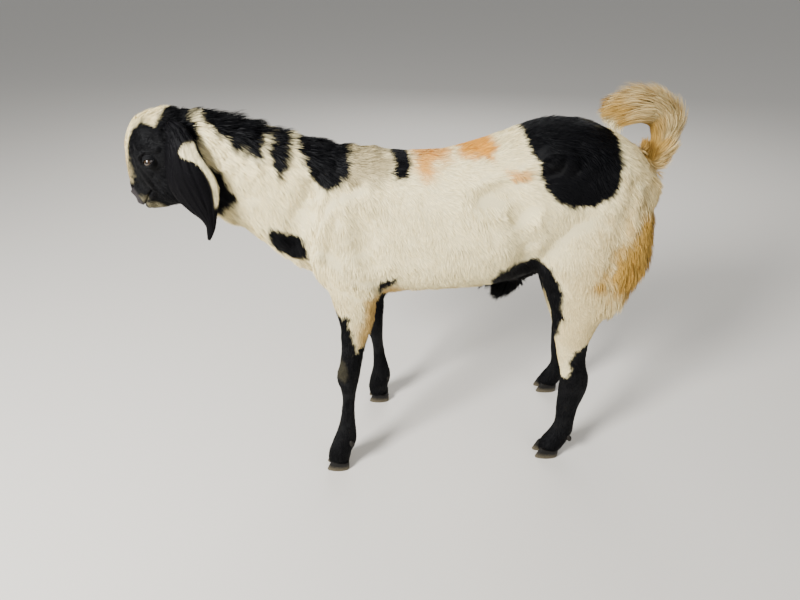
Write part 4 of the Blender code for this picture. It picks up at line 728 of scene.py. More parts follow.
@dataclass(frozen=True)
class Markings:
    """The patches of colour on the coat, for the skin and for each tuft's root alike."""

    patches: tuple[Patch, ...] = PATCHES
    wander: float = 0.022  # size of the bays and points along an edge
    teeth: float = 0.006  # size of the fine ones
    ruffle: float = 2.2  # how strongly both bend an edge, against a patch's own fray
    margin: float = 0.06  # how far past its outline a patch is worked out

    def inside(self, patch: Patch, flat: Array, ruffle: Array) -> Array:
        """Gives how far each place belongs to a patch.

        Args:
            patch: The patch.
            flat: Places in the side view.
            ruffle: Random offsets for the same places, from -1 to 1.

        Returns:
            0 outside, 1 inside, and values between near the edge.
        """
        corners = np.array(patch.outline)
        low, high = corners.min(0) - self.margin, corners.max(0) + self.margin
        amount = np.zeros(len(flat))
        near = np.all((flat > low) & (flat < high), axis=1)
        at = flat[near] + ruffle[near] * patch.fray
        distance = np.full(len(at), FAR)
        crossings = np.zeros(len(at), bool)
        for start, end in zip(corners, np.roll(corners, -1, axis=0)):
            along = end - start
            distance = np.minimum(distance, from_segment(at, start, end))
            spans = (start[1] > at[:, 1]) != (end[1] > at[:, 1])
            rise = along[1] if abs(along[1]) > 1e-12 else 1e-12
            crossings ^= spans & (at[:, 0] < start[0] + (at[:, 1] - start[1]) * along[0] / rise)
        signed = np.where(crossings, distance, -distance)
        amount[near] = smoothstep(-patch.edge, patch.edge, signed)
        return amount

    def weights(self, points: Array) -> Array:
        """Gives the tones at places on the goat.

        Args:
            points: The places.

        Returns:
            One row a point: black, gold, tan and orange, each from 0 to 1.
        """
        folded = leaned(points)
        ruffle = [Grain(seed).at(points, self.wander) + 0.5 * Grain(seed + 1).at(points, self.teeth)
                  for seed in (11, 13)]
        ruffle = (np.stack(ruffle, 1) - 0.75) * self.ruffle
        tones = np.zeros((len(points), 4))
        for patch in self.patches:
            amount = self.inside(patch, folded[:, [0, 2]], ruffle) * patch.strength
            if patch.side is not Side.BOTH:
                amount *= np.sign(points[:, 1]) == patch.side.value
            tones *= 1.0 - amount[:, None]
            if patch.tone is not Tone.CREAM:
                tones[:, patch.tone.value] += amount
        return tones


@dataclass(frozen=True)
class CombField:
    """The combs, blended smoothly over the body."""

    combs: tuple[Comb, ...] = COMBS
    near: float = 0.012  # a comb's own reach
    sharpness: float = 2.6
    block: int = 60000  # how many points are worked out at once

    def on_tail(self, folded: Array) -> Array:
        """Gives 1 on the tail and 0 on the rump below it."""
        edge = np.interp(folded[:, 0], *np.array(TAIL_EDGE).T, left=9.0)
        return smoothstep(-0.004, 0.004, folded[:, 2] - edge)

    def mix(self, points: Array) -> Array:
        """Blends the combs.

        Args:
            points: Places on the goat.

        Returns:
            The share of each comb at each point, as rows that add up to one.
        """
        folded = leaned(points)
        tail = self.on_tail(folded)
        shares = np.empty((len(points), len(self.combs)))
        for index, comb in enumerate(self.combs):
            away = ((folded - np.array(comb.place)) ** 2).sum(1) + self.near**2
            belongs = tail if comb.part is Part.TAIL else 1.0 - tail
            shares[:, index] = away**-self.sharpness * (belongs + 1e-6)
        return shares / shares.sum(1, keepdims=True)

    def sizes(self, points: Array) -> dict[str, Array]:
        """Gives the combed sizes at each point.

        Args:
            points: Places on the goat.

        Returns:
            Way, length, stand, depth, width and crowd in metres, radians and tufts a square metre,
            and the index of the strongest comb.
        """
        made = {name: [] for name in ("way", "length", "stand", "depth", "width", "crowd", "owner")}
        values = np.array([(c.length / 1000, math.radians(c.stand), c.depth / 1000, c.width / 1000,
                            c.crowd * 1e4) for c in self.combs])
        ways = unit(np.array([c.way for c in self.combs]))
        for block in np.array_split(points, max(1, len(points) // self.block)):
            shares = self.mix(block)
            way = shares @ ways
            way[:, 1] *= np.where(block[:, 1] < 0, -1.0, 1.0)
            mixed = shares @ values
            made["way"].append(unit(way))
            for column, name in enumerate(("length", "stand", "depth", "width", "crowd")):
                made[name].append(mixed[:, column])
            made["owner"].append(shares.argmax(1))
        return {name: np.concatenate(blocks) for name, blocks in made.items()}


def fetch(items: Sequence, field: str, width: int, kind: type = float) -> Array:
    """Reads one field of a mesh's items.

    Args:
        items: The points, edges, triangles or layer data.
        field: The field's name.
        width: How many numbers each item has.
        kind: The kind of number.

    Returns:
        One row for each item.
    """
    values = np.empty(len(items) * width, kind)
    items.foreach_get(field, values)
    return values.reshape(-1, width)


def points_of(mesh: Mesh) -> Array:
    """Reads the points of a mesh."""
    return fetch(mesh.vertices, "co", 3)


def normals_of(mesh: Mesh) -> Array:
    """Reads the normal at each point of a mesh."""
    return fetch(mesh.vertices, "normal", 3)


def triangles_of(mesh: Mesh, field: str = "vertices") -> Array:
    """Reads the points of each triangle of a mesh, or its corners by the field loops."""
    mesh.calc_loop_triangles()
    return fetch(mesh.loop_triangles, field, 3, np.int32)


def write_points(mesh: Mesh, points: Array) -> None:
    """Moves the points of a mesh."""
    mesh.vertices.foreach_set("co", np.ascontiguousarray(points, np.float32).ravel())
    mesh.update()


def add_layer(mesh: Mesh, name: str, values: Array) -> None:
    """Stores values for each point of a mesh.

    Args:
        mesh: The mesh.
        name: The layer's name.
        values: A number, a vector or a colour for each point.
    """
    kind, field = LAYER_KINDS[1 if values.ndim == 1 else values.shape[1]]
    layer = mesh.attributes.new(name, kind, "POINT")
    layer.data.foreach_set(field, np.ascontiguousarray(values, np.float32).ravel())


def read_layer(mesh: Mesh, name: str, width: int) -> Array:
    """Reads back what add_layer stored, as rows of the given width."""
    return fetch(mesh.attributes[name].data, LAYER_KINDS[width][1], width)


def join_rings(shape: BMesh, rings: list) -> list[BMFace]:
    """Joins rings of places into a closed tube.

    Args:
        shape: The shape that takes the tube.
        rings: The places of each ring.

    Returns:
        The faces, row by row, and then the two ends.
    """
    rows = [[shape.verts.new(place) for place in ring] for ring in rings]
    count = len(rows[0])
    faces = []
    for low, high in zip(rows, rows[1:]):
        for side in range(count):
            after = (side + 1) % count
            faces.append(shape.faces.new((low[side], low[after], high[after], high[side])))
    return [*faces, shape.faces.new(rows[0]), shape.faces.new(rows[-1])]


def join_ball(shape: BMesh, place: Callable[[float, float], Array], segments: int, rows: int) -> None:
    """Builds a ball between two poles.

    Args:
        shape: The shape that takes the ball.
        place: Gives the place at an angle from the first pole and a turn about it.
        segments: How many points go round it.
        rows: How many rows of faces lie from pole to pole.
    """
    rings = [[shape.verts.new(place(math.pi * ring / rows, side * 2 * math.pi / segments))
              for side in range(segments)] for ring in range(1, rows)]
    front, back = (shape.verts.new(place(polar, 0.0)) for polar in (0.0, math.pi))
    for side in range(segments):
        after = (side + 1) % segments
        shape.faces.new((front, rings[0][side], rings[0][after]))
        shape.faces.new((back, rings[-1][after], rings[-1][side]))
        for low, high in zip(rings, rings[1:]):
            shape.faces.new((low[side], high[side], high[after], low[after]))


def mesh_of(shape: BMesh, name: str, outwards: bool = True) -> Mesh:
    """Turns a shape into a smooth mesh.

    Args:
        shape: The shape, which is used up.
        name: The mesh's name.
        outwards: Whether its faces are turned outwards first.

    Returns:
        The mesh.
    """
    if outwards:
        bmesh.ops.recalc_face_normals(shape, faces=shape.faces)
    mesh = bpy.data.meshes.new(name)
    shape.to_mesh(mesh)
    shape.free()
    mesh.shade_smooth()
    return mesh


def add_object(name: str, data: bpy.types.ID) -> Object:
    """Puts something into the scene.

    Args:
        name: The object's name.
        data: A mesh, a light or a camera.

    Returns:
        The new object.
    """
    made = bpy.data.objects.new(name, data)
    bpy.context.scene.collection.objects.link(made)
    return made


def place_piece(name: str, mesh: Mesh, finish: Material, replaces: tuple[str, ...] = ()) -> None:
    """Args:
        name: The piece's name.
        mesh: Its mesh, in the goat's own place.
        finish: Its material.
        replaces: The solids that it stands for.
    """
    mesh.name = name
    mesh.transform(Matrix.Translation(BODY_SHIFT))
    mesh.materials.clear()
    mesh.materials.append(finish)
    piece = add_object(name, mesh)
    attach(piece, "root")
    if replaces:
        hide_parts(*replaces)
    LOG.info("%s: %d triangles", name, len(triangles_of(mesh)))


def stretched(centre: tuple, radii: tuple, tilt: float) -> Matrix:
    """Gives the matrix that makes an ellipsoid, turned about Y, of a unit ball."""
    return Matrix.Translation(centre) @ Matrix.Rotation(tilt, 4, "Y") @ Matrix.Diagonal((*radii, 1))


class Clay:
    """Closed lumps that are gathered and then fused into one skin."""

    def __init__(self) -> None:
        """Starts with nothing."""
        self.shape = bmesh.new()

    def add_tube(self, ribs: tuple, sides: int = 32, steps: int = 6) -> None:
        """Adds a closed tube through oval ribs.

        Args:
            ribs: The ribs' rows.
            sides: How many points a ring has.
            steps: How many rings lie between each two ribs.
        """
        rings = []
        for top_x, top_z, low_x, low_z, y, half_width, widest in smooth_rows(ribs, steps):
            top, low = np.array((top_x, y, top_z)), np.array((low_x, y, low_z))
            middle = low + (top - low) * widest
            ring = []
            for turn in np.arange(sides) * 2 * math.pi / sides:
                rise = math.cos(turn)
                share = (1 - widest) if rise > 0 else widest
                ring.append(middle + (top - low) * share * rise + (0, half_width * math.sin(turn), 0))
            rings.append(ring)
        join_rings(self.shape, rings)

    def add_ball(self, centre: tuple, radii: tuple, tilt: float) -> None:
        """Adds an ellipsoid that is turned about Y."""
        place = stretched(centre, radii, tilt)
        bmesh.ops.create_uvsphere(self.shape, u_segments=24, v_segments=14, radius=1.0, matrix=place)

    def fused(self, voxel: float) -> Mesh:
        """Gives one closed surface round all the lumps.

        Args:
            voxel: The size of its faces.

        Returns:
            The surface's mesh.
        """
        lump = add_object("clay", mesh_of(self.shape, "clay"))
        remesh = lump.modifiers.new("remesh", "REMESH")
        remesh.mode = "VOXEL"
        remesh.voxel_size = voxel
        bpy.context.view_layer.update()
        made = bpy.data.meshes.new_from_object(
            lump.evaluated_get(bpy.context.evaluated_depsgraph_get()))
        bpy.data.objects.remove(lump)
        return made


@dataclass(frozen=True)
class Eye:
    """One eyeball: a wet ball with an amber iris and a level, slot-shaped pupil."""

    sign: int
    lid: float = 0.0017  # thickness of the lids
    rim: float = 0.0007  # how far their rims swell
    wet: float = 0.0022  # how wide the hairless rim round the slit is
    inset: float = 0.0006  # how far the ball lies inside its socket
    bulge: float = 0.0009  # of the cornea
    cornea: float = 0.55  # its reach, in radians from the middle
    spread: tuple[float, float] = (0.024, -0.006)  # how far the lids go across the eye and inwards
    blend: tuple[float, float] = (0.70, 1.60)  # over these eye radii they turn into the face
    lower: float = 0.85  # the lower lid's opening against the upper one's
    edge: tuple[float, float] = (-0.0008, 0.0006)  # how wide the edge of the slit is rounded
    swell: tuple[float, float] = (0.0012, 0.0013)  # middle and width of the rim's swelling
    depth: float = 0.0030  # how far inside the ball the skin in the slit lies

    def centre(self) -> Array:
        """Gives the middle of the eyeball."""
        return EYE_CENTRE * (1, self.sign, 1)

    def axes(self) -> tuple[Array, Array, Array]:
        """Finds the eye's own axes.

        Returns:
            The ways along the slit, up across the slit and out of the head.
        """
        out = unit(EYE_LOOK * (1, self.sign, 1))
        slit = np.array((math.cos(EYE_TILT), 0.0, math.sin(EYE_TILT)))
        slit = unit(slit - out * (slit @ out))
        up = np.cross(slit, out)
        return slit, up if up[2] > 0 else -up, out

    def seen(self, points: Array) -> Array:
        """Gives the places of points along the eye's own axes, as three rows."""
        away = points - self.centre()
        return np.stack([away @ axis for axis in self.axes()])

    def shape_lids(self, points: Array) -> None:
        """Shapes the lids over the eye and opens them.

        Args:
            points: The skin's points, which are moved.
        """
        a, b, c = self.seen(points)
        radius = np.sqrt(a**2 + b**2)
        near = (radius < self.spread[0]) & (c > self.spread[1])
        shell = np.sqrt(np.maximum((EYE_RADIUS + self.lid) ** 2 - radius**2, 0.0))
        start, end = (share * EYE_RADIUS for share in self.blend)
        lid = c + (shell - c) * (1.0 - smoothstep(start, end, radius))
        half, high = EYE_OPENING
        bow = np.clip(1.0 - (a / half) ** 2, 0.0, 1.0)
        gap = np.abs(b) - np.where(b > 0, high, high * self.lower) * bow
        opened = (1.0 - smoothstep(*self.edge, gap)) * (np.abs(a) < half)
        middle, width = self.swell
        swell = self.rim * np.exp(-((gap - middle) / width) ** 2) * (np.abs(a) < half * 1.2)
        sunk = np.sqrt(np.maximum((EYE_RADIUS - self.depth) ** 2 - radius**2, 0.0))
        target = (lid + swell) * (1 - opened) + sunk * opened
        points[near] += np.outer((target - c)[near], self.axes()[2])

    def clear(self, places: Array) -> Array:
        """Tells which places are off the eye and its wet rim.

        Args:
            places: Places on the goat.

        Returns:
            False on the eye, True elsewhere.
        """
        a, b, _ = self.seen(places)
        a, b = a / (EYE_OPENING[0] + self.wet), b / (EYE_OPENING[1] + self.wet)
        return ~((a**2 + b**2 < 1.0) & (np.linalg.norm(places - self.centre(), axis=1) < 0.022))

    def surface(self, polar: float, turn: float) -> Array:
        """Finds a place on the ball.

        Args:
            polar: The angle from the middle of the cornea.
            turn: The turn about the way that the eye looks.

        Returns:
            The place.
        """
        along, up, out = self.axes()
        radius = EYE_RADIUS - self.inset + self.bulge * math.exp(-((polar / self.cornea) ** 4))
        way = math.cos(polar) * out + math.sin(polar) * (math.cos(turn) * along + math.sin(turn) * up)
        return self.centre() + radius * way

    def build(self) -> Mesh:
        """Builds the ball, with the cornea's slight bulge.

        Returns:
            The eye's mesh, which carries each point's place in eye radii.
        """
        shape = bmesh.new()
        join_ball(shape, self.surface, 64, 40)
        mesh = mesh_of(shape, "eye")
        look = self.seen(points_of(mesh)).T / EYE_RADIUS
        add_layer(mesh, LOOK_LAYER, np.hstack([look, np.ones((len(look), 1))]))
        return mesh


@dataclass(frozen=True)
class Skin:
    """The one skin of head, neck, body, legs and tail, under the coat."""

    voxel: float = 0.0045
    rounds: int = 16  # of smoothing
    face_rounds: int = 3
    muzzle: tuple[float, float] = (-0.57, -0.64)  # from here forward the form is spared some smoothing
    tail: tuple[float, float, float] = (0.3, 0.80, 0.03)  # and behind this x, above this z, within this y
    spared: float = 0.70  # the share that they are spared
    face_x: float = -0.598  # the face is ahead of this
    face_z: float = 0.66  # and above this
    eye_zone: float = 0.026  # how far round an eye the faces are finest
    nose: tuple[float, float] = (-0.690, 0.757)  # they are finest below and ahead of this too
    lowest: float = 0.012  # the skin ends inside the hooves
    covers: tuple[str, ...] = ("head", "neck", "torso", "tail", "scrotum", "foreleg_left",
                               "foreleg_right", "hindleg_left", "hindleg_right")

    def leg_ribs(self, leg: str, side: str) -> tuple:
        """Gives the ribs of one leg, set back from the left leg's by its reach at the floor.

        Args:
            leg: fore or hind.
            side: left or right.

        Returns:
            The ribs' rows.
        """
        made = []
        for front_x, front_z, rear_x, rear_z, y, half_width, widest in LEG_RIBS[leg]:
            lean = max(0.0, 1.0 - 0.5 * (front_z + rear_z) / LEG_TOP) ** LEG_BEND
            away = y if side == "left" else -y * (1.0 - (1.0 - RIGHT_LEG_Y) * lean)
            if leg == "fore":
                middle, fade_z = FOREARM_MIDDLE
                rear_x += FOREARM_BACK[side] * math.exp(-((rear_z - middle) / fade_z) ** 2)
            shift = REACH[leg][side] * lean
            made.append((front_x + shift, front_z, rear_x + shift, rear_z, away, half_width, widest))
        return tuple(made)

    def form(self) -> Mesh:
        """Models the whole body.

        Returns:
            One closed surface.
        """
        clay = Clay()
        for ribs in (TORSO_RIBS, NECK_RIBS, HEAD_RIBS, TAIL_RIBS, SHEATH_RIBS, SCROTUM_RIBS):
            clay.add_tube(ribs)
        for side, sign in SIDES.items():
            for leg in LEG_RIBS:
                clay.add_tube(self.leg_ribs(leg, side))
            for (x, y, z), radii, tilt in SWELLINGS:
                clay.add_ball((x, sign * y, z), radii, tilt)
        return clay.fused(self.voxel)

    def relax(self, mesh: Mesh, share: Array, rounds: int) -> None:
        """Evens the surface out.

        Args:
            mesh: The mesh to smooth.
            share: How strongly each point takes part.
            rounds: How many times each point moves half way to its neighbours' middle.
        """
        points = points_of(mesh)
        first, second = fetch(mesh.edges, "vertices", 2, np.int32).T
        count = np.bincount(np.concatenate([first, second]), minlength=len(points))[:, None]
        for _ in range(rounds):
            total = np.zeros_like(points)
            for axis in range(3):
                total[:, axis] = (np.bincount(first, points[second, axis], len(points))
                                  + np.bincount(second, points[first, axis], len(points)))
            points += 0.5 * share[:, None] * (total / np.maximum(count, 1) - points)
        write_points(mesh, points)

    def refine_face(self, mesh: Mesh) -> None:
        """Splits the faces of the head, and once more those round eyes, nose and mouth.

        Args:
            mesh: The skin.
        """
        shape = bmesh.new()
        shape.from_mesh(mesh)
        head = [edge for edge in shape.edges
                if all(v.co.x < self.face_x and v.co.z > self.face_z for v in edge.verts)]
        bmesh.ops.subdivide_edges(shape, edges=head, cuts=1, use_grid_fill=True)
        fine = []
        for edge in shape.edges:
            middle = (edge.verts[0].co + edge.verts[1].co) / 2
            eye = middle - Vector((EYE_CENTRE[0], math.copysign(EYE_CENTRE[1], middle.y), EYE_CENTRE[2]))
            if eye.length < self.eye_zone or (middle.x < self.nose[0] and middle.z < self.nose[1]):
                fine.append(edge)
        bmesh.ops.subdivide_edges(shape, edges=fine, cuts=1, use_grid_fill=True)
        bmesh.ops.triangulate(shape, faces=[face for face in shape.faces if len(face.verts) > 4])
        shape.to_mesh(mesh)
        shape.free()

    def sculpt(self, mesh: Mesh, strokes: tuple[Stroke, ...]) -> None:
        """Raises and sinks the skin along strokes, on both sides.

        Args:
            mesh: The skin.
            strokes: The strokes, in order.
        """
        for stroke in strokes:
            points, normals = points_of(mesh), normals_of(mesh)
            folded = leaned(points)
            path = np.array(stroke.path)
            if stroke.across:
                folded[:, 1] = 0.0
                path[:, 1] = 0.0
            low, high = path.min(0) - stroke.reach, path.max(0) + stroke.reach
            near = np.all((folded > low) & (folded < high), axis=1)
            distance = np.full(near.sum(), FAR)
            for start, end in zip(path, path[1:]):
                distance = np.minimum(distance, from_segment(folded[near], start, end))
            fall = np.clip(1.0 - (distance / stroke.reach) ** 2, 0.0, 1.0) ** 2
            points[near] += normals[near] * (stroke.rise * fall)[:, None]
            write_points(mesh, points)

    def unwrap(self, mesh: Mesh) -> None:
        """Lays the skin out flat on the bake map.

        Args:
            mesh: The skin.
        """
        flat = add_object("unwrap", mesh)
        mesh.uv_layers.new(name=BAKE_MAP)
        bpy.context.view_layer.objects.active = flat
        flat.select_set(True)
        bpy.ops.object.mode_set(mode="EDIT")
        bpy.ops.mesh.select_all(action="SELECT")
        bpy.ops.uv.smart_project(angle_limit=math.radians(66), island_margin=0.004)
        bpy.ops.object.mode_set(mode="OBJECT")
        bpy.data.objects.remove(flat)

    def build(self, field: CombField, marks: Markings) -> Mesh:
        """Models the skin and lays it under the coat by the coat's depth.

        Args:
            field: The coat's combs.
            marks: The coat's markings.

        Returns:
            The skin's mesh, with its bake map and its markings.
        """
        mesh = self.form()
        points = points_of(mesh)
        fine = smoothstep(*self.muzzle, points[:, 0]) * (points[:, 2] > 0.6)
        behind, above, within = self.tail
        tail = (points[:, 0] > behind) & (points[:, 2] > above) & (np.abs(points[:, 1]) < within)
        self.relax(mesh, 1.0 - self.spared * np.maximum(fine, tail), self.rounds)
        self.sculpt(mesh, BODY_STROKES)
        self.refine_face(mesh)
        points = points_of(mesh)
        face = (points[:, 0] < self.face_x + 0.01) & (points[:, 2] > self.face_z - 0.01)
        self.relax(mesh, face.astype(float), self.face_rounds)
        points, normals = points_of(mesh), normals_of(mesh)
        add_layer(mesh, OUTER_LAYER, points)
        write_points(mesh, points - normals * field.sizes(points)["depth"][:, None])
        self.sculpt(mesh, FACE_STROKES)
        points = points_of(mesh)
        for sign in SIDES.values():
            Eye(sign).shape_lids(points)
        points[:, 2] = np.maximum(points[:, 2], self.lowest)
        write_points(mesh, points)
        self.unwrap(mesh)
        outer = read_layer(mesh, OUTER_LAYER, 3)
        add_layer(mesh, MARK_LAYER, marks.weights(outer))
        bare = marks.inside(BARE_NOSE, leaned(outer)[:, [0, 2]], np.zeros((len(points), 2)))
        add_layer(mesh, BARE_LAYER, bare)
        mesh.shade_smooth()
        return mesh


@dataclass(frozen=True)
class Ear:
    """One long hanging ear: a cupped leaf with fine ridges and a pale stripe at its rear rim."""

    sign: int
    across: int = 41
    steps: int = 9
    ridge: float = 0.0009  # height of the ridges on its back
    ridges: tuple = ((0.6, 6, 7.0, 0.0), (0.4, 11, 9.0, 1.0))  # share, waves, drift and start of each kind
    vein: tuple[float, float, float] = (1.2, 0.35, 0.05)  # share, place and width of the thick vein
    crease: float = 0.0005  # and in its hollow
    stripe: tuple[float, float] = (0.88, 0.09)  # its middle, across the ear, and half width
    head: tuple[float, float] = (0.235, 0.055)  # how far down it is broadest, and over how much

    def build(self) -> Mesh:
        """Builds the leaf with its back and its hollow face.

        Returns:
            The ear's mesh, with its bake map, its markings and the lie of its hair.
        """
        rows = smooth_rows(EAR_ROWS, self.steps)
        places = rows[:, :3] * (1, self.sign, 1)
        spread = np.linspace(-1.0, 1.0, self.across)
        rings, tones, ways = [], [], []
        for index, (row, place) in enumerate(zip(rows, places)):
            along = unit(places[min(index + 1, len(places) - 1)] - places[max(index - 1, 0)])
            outward = EAR_FACE * (1, self.sign, 1)
            outward = unit(outward - along * (outward @ along))
            wide = np.cross(along, outward) * self.sign
            half_width, cup, thickness = row[3:]
            down = index / (len(rows) - 1)
            taper = min(1.0, half_width / 0.03)
            back, hollow = [], []
            for s in spread:
                leaf = place + wide * (s * half_width) - outward * (cup * s * s)
                ridges = sum(share * math.cos(s * waves * math.pi + drift * down + start)
                             for share, waves, drift, start in self.ridges)
                share, start, width = self.vein
                ridges += share * math.exp(-((s + start - 0.9 * down) / width) ** 2)
                rim = thickness * (0.5 - 0.30 * s * s) * 0.9
                back.append(leaf + outward * (rim + self.ridge * ridges * taper))
                hollow.append(leaf - outward * (rim - self.crease * math.cos(s * 5 * math.pi) * taper))
            rings.append(back + hollow[::-1])
            tones += [self.tone(s, down) for s in (*spread, *spread[::-1])]
            ways += [along] * (2 * self.across)
        mesh = self.unwrapped(rings)
        add_layer(mesh, MARK_LAYER, np.array(tones))
        add_layer(mesh, LIE_LAYER, np.array(ways))
        return mesh

    def tone(self, s: float, down: float) -> tuple[float, float, float, float]:
        """Gives the markings at a place on the ear: black but for the rear stripe.

        Args:
            s: The place across the ear, from -1 to 1.
            down: The place down it, from 0 to 1.

        Returns:
            Black, gold, tan and orange.
        """
        top = math.exp(-((down - self.head[0]) / self.head[1]) ** 2)
        away = abs(s - (self.stripe[0] - 0.42 * top)) - (self.stripe[1] + 0.35 * top)
        pale = float(smoothstep(0.05, 0.0, np.array(away)))
        ends = smoothstep(0.175, 0.205, np.array(down)) * smoothstep(0.66, 0.61, np.array(down))
        return (1.0 - pale * float(ends), 0.0, 0.0, 0.0)

    def unwrapped(self, rings: list) -> Mesh:
        """Skins the rings and unwraps them.

        Args:
            rings: The places of each row.

        Returns:
            The mesh, with its bake map.
        """
        count = 2 * self.across
        shape = bmesh.new()
        layer = shape.loops.layers.uv.new(BAKE_MAP)
        faces = join_rings(shape, rings)
        for number, face in enumerate(faces[:-2]):
            row, side = divmod(number, count)
            for loop, (right, down) in zip(face.loops, ((0, 0), (1, 0), (1, 1), (0, 1))):
                loop[layer].uv = (0.02 + 0.96 * ((side + right) / count),
                                  0.02 + 0.96 * ((row + down) / len(rings)))
        bmesh.ops.triangulate(shape, faces=faces[-2:])
        return mesh_of(shape, "ear")


@dataclass(frozen=True)
class Hoof:
    """One claw of a hoof, with growth rings and a worn edge."""

    leg: str
    side: str
    half: int
    sides: int = 40
    levels: int = 22
    worn: float = 0.0012  # how far the edge at the floor is rounded
    eased: float = 0.0006  # and the edge at the coronet
    ring: float = 0.00022  # depth of the growth rings
    narrow: float = 0.32  # how much narrower the toe is than the heel
    fullness: float = 0.75  # below one, the sides are fuller than an oval's

    def build(self) -> Mesh:
        """Builds the claw from the floor up to the coronet.

        Returns:
            The claw's mesh.
        """
        toe, heel = (ends[self.leg] + REACH[self.leg][self.side] for ends in (TOE_X, HEEL_X))
        middle_y = foot_y(self.leg, self.side) + self.half * CLAW_SPREAD
        slope = (CORONET_HEEL - CORONET_FRONT) / (heel - toe)
        centre = 0.5 * (toe + heel)
        rings = []
        for height in np.arange(self.levels + 1) / self.levels:
            inset = self.worn * math.exp(-height * 25) + self.eased * max(0.0, height - 0.85) / 0.15
            inset += self.ring * math.cos(height * 34)
            ring = []
            for turn in np.arange(self.sides) * 2 * math.pi / self.sides:
                share = 0.5 * (1.0 + math.cos(turn))
                x = heel + (toe - heel) * share
                x = centre + (x - centre) * (1.0 - inset / HOOF_HALF_LENGTH) + TOE_LEAN * share * height
                across = math.sin(turn)
                wide = CLAW_WIDTH / 2 * math.copysign(abs(across) ** self.fullness, across)
                wide *= 1.0 - self.narrow * share**2
                wide *= 1.0 - inset / (CLAW_WIDTH / 2)
                ring.append((x, middle_y + wide, height * (CORONET_FRONT + (x - toe) * slope)))
            rings.append(ring)
        shape = bmesh.new()
        join_rings(shape, rings)
        mesh = mesh_of(shape, "hoof")
        mesh.set_sharp_from_angle(angle=math.radians(50))
        return mesh


@dataclass(frozen=True)
class Dewclaws:
    """The eight small horn buds behind the fetlocks."""

    reach: float = 0.88  # of the foot's own, as they are higher
    tilt: float = -0.35

    def build(self) -> Mesh:
        """Builds all eight as one mesh.

        Returns:
            Their mesh.
        """
        shape = bmesh.new()
        for side, (leg, reaches), out in product(SIDES, REACH.items(), (-CLAW_SPREAD, CLAW_SPREAD)):
            place = (HEEL_X[leg] + reaches[side] * self.reach + DEWCLAW_BACK[leg],
                     foot_y(leg, side) + out, DEWCLAW_HEIGHT[leg])
            ball = stretched(place, DEWCLAW_RADII, self.tilt)
            join_ball(shape, lambda polar, turn: ball @ Vector((
                math.sin(polar) * math.cos(turn), math.sin(polar) * math.sin(turn), math.cos(polar))), 20, 14)
        return mesh_of(shape, "dewclaws")


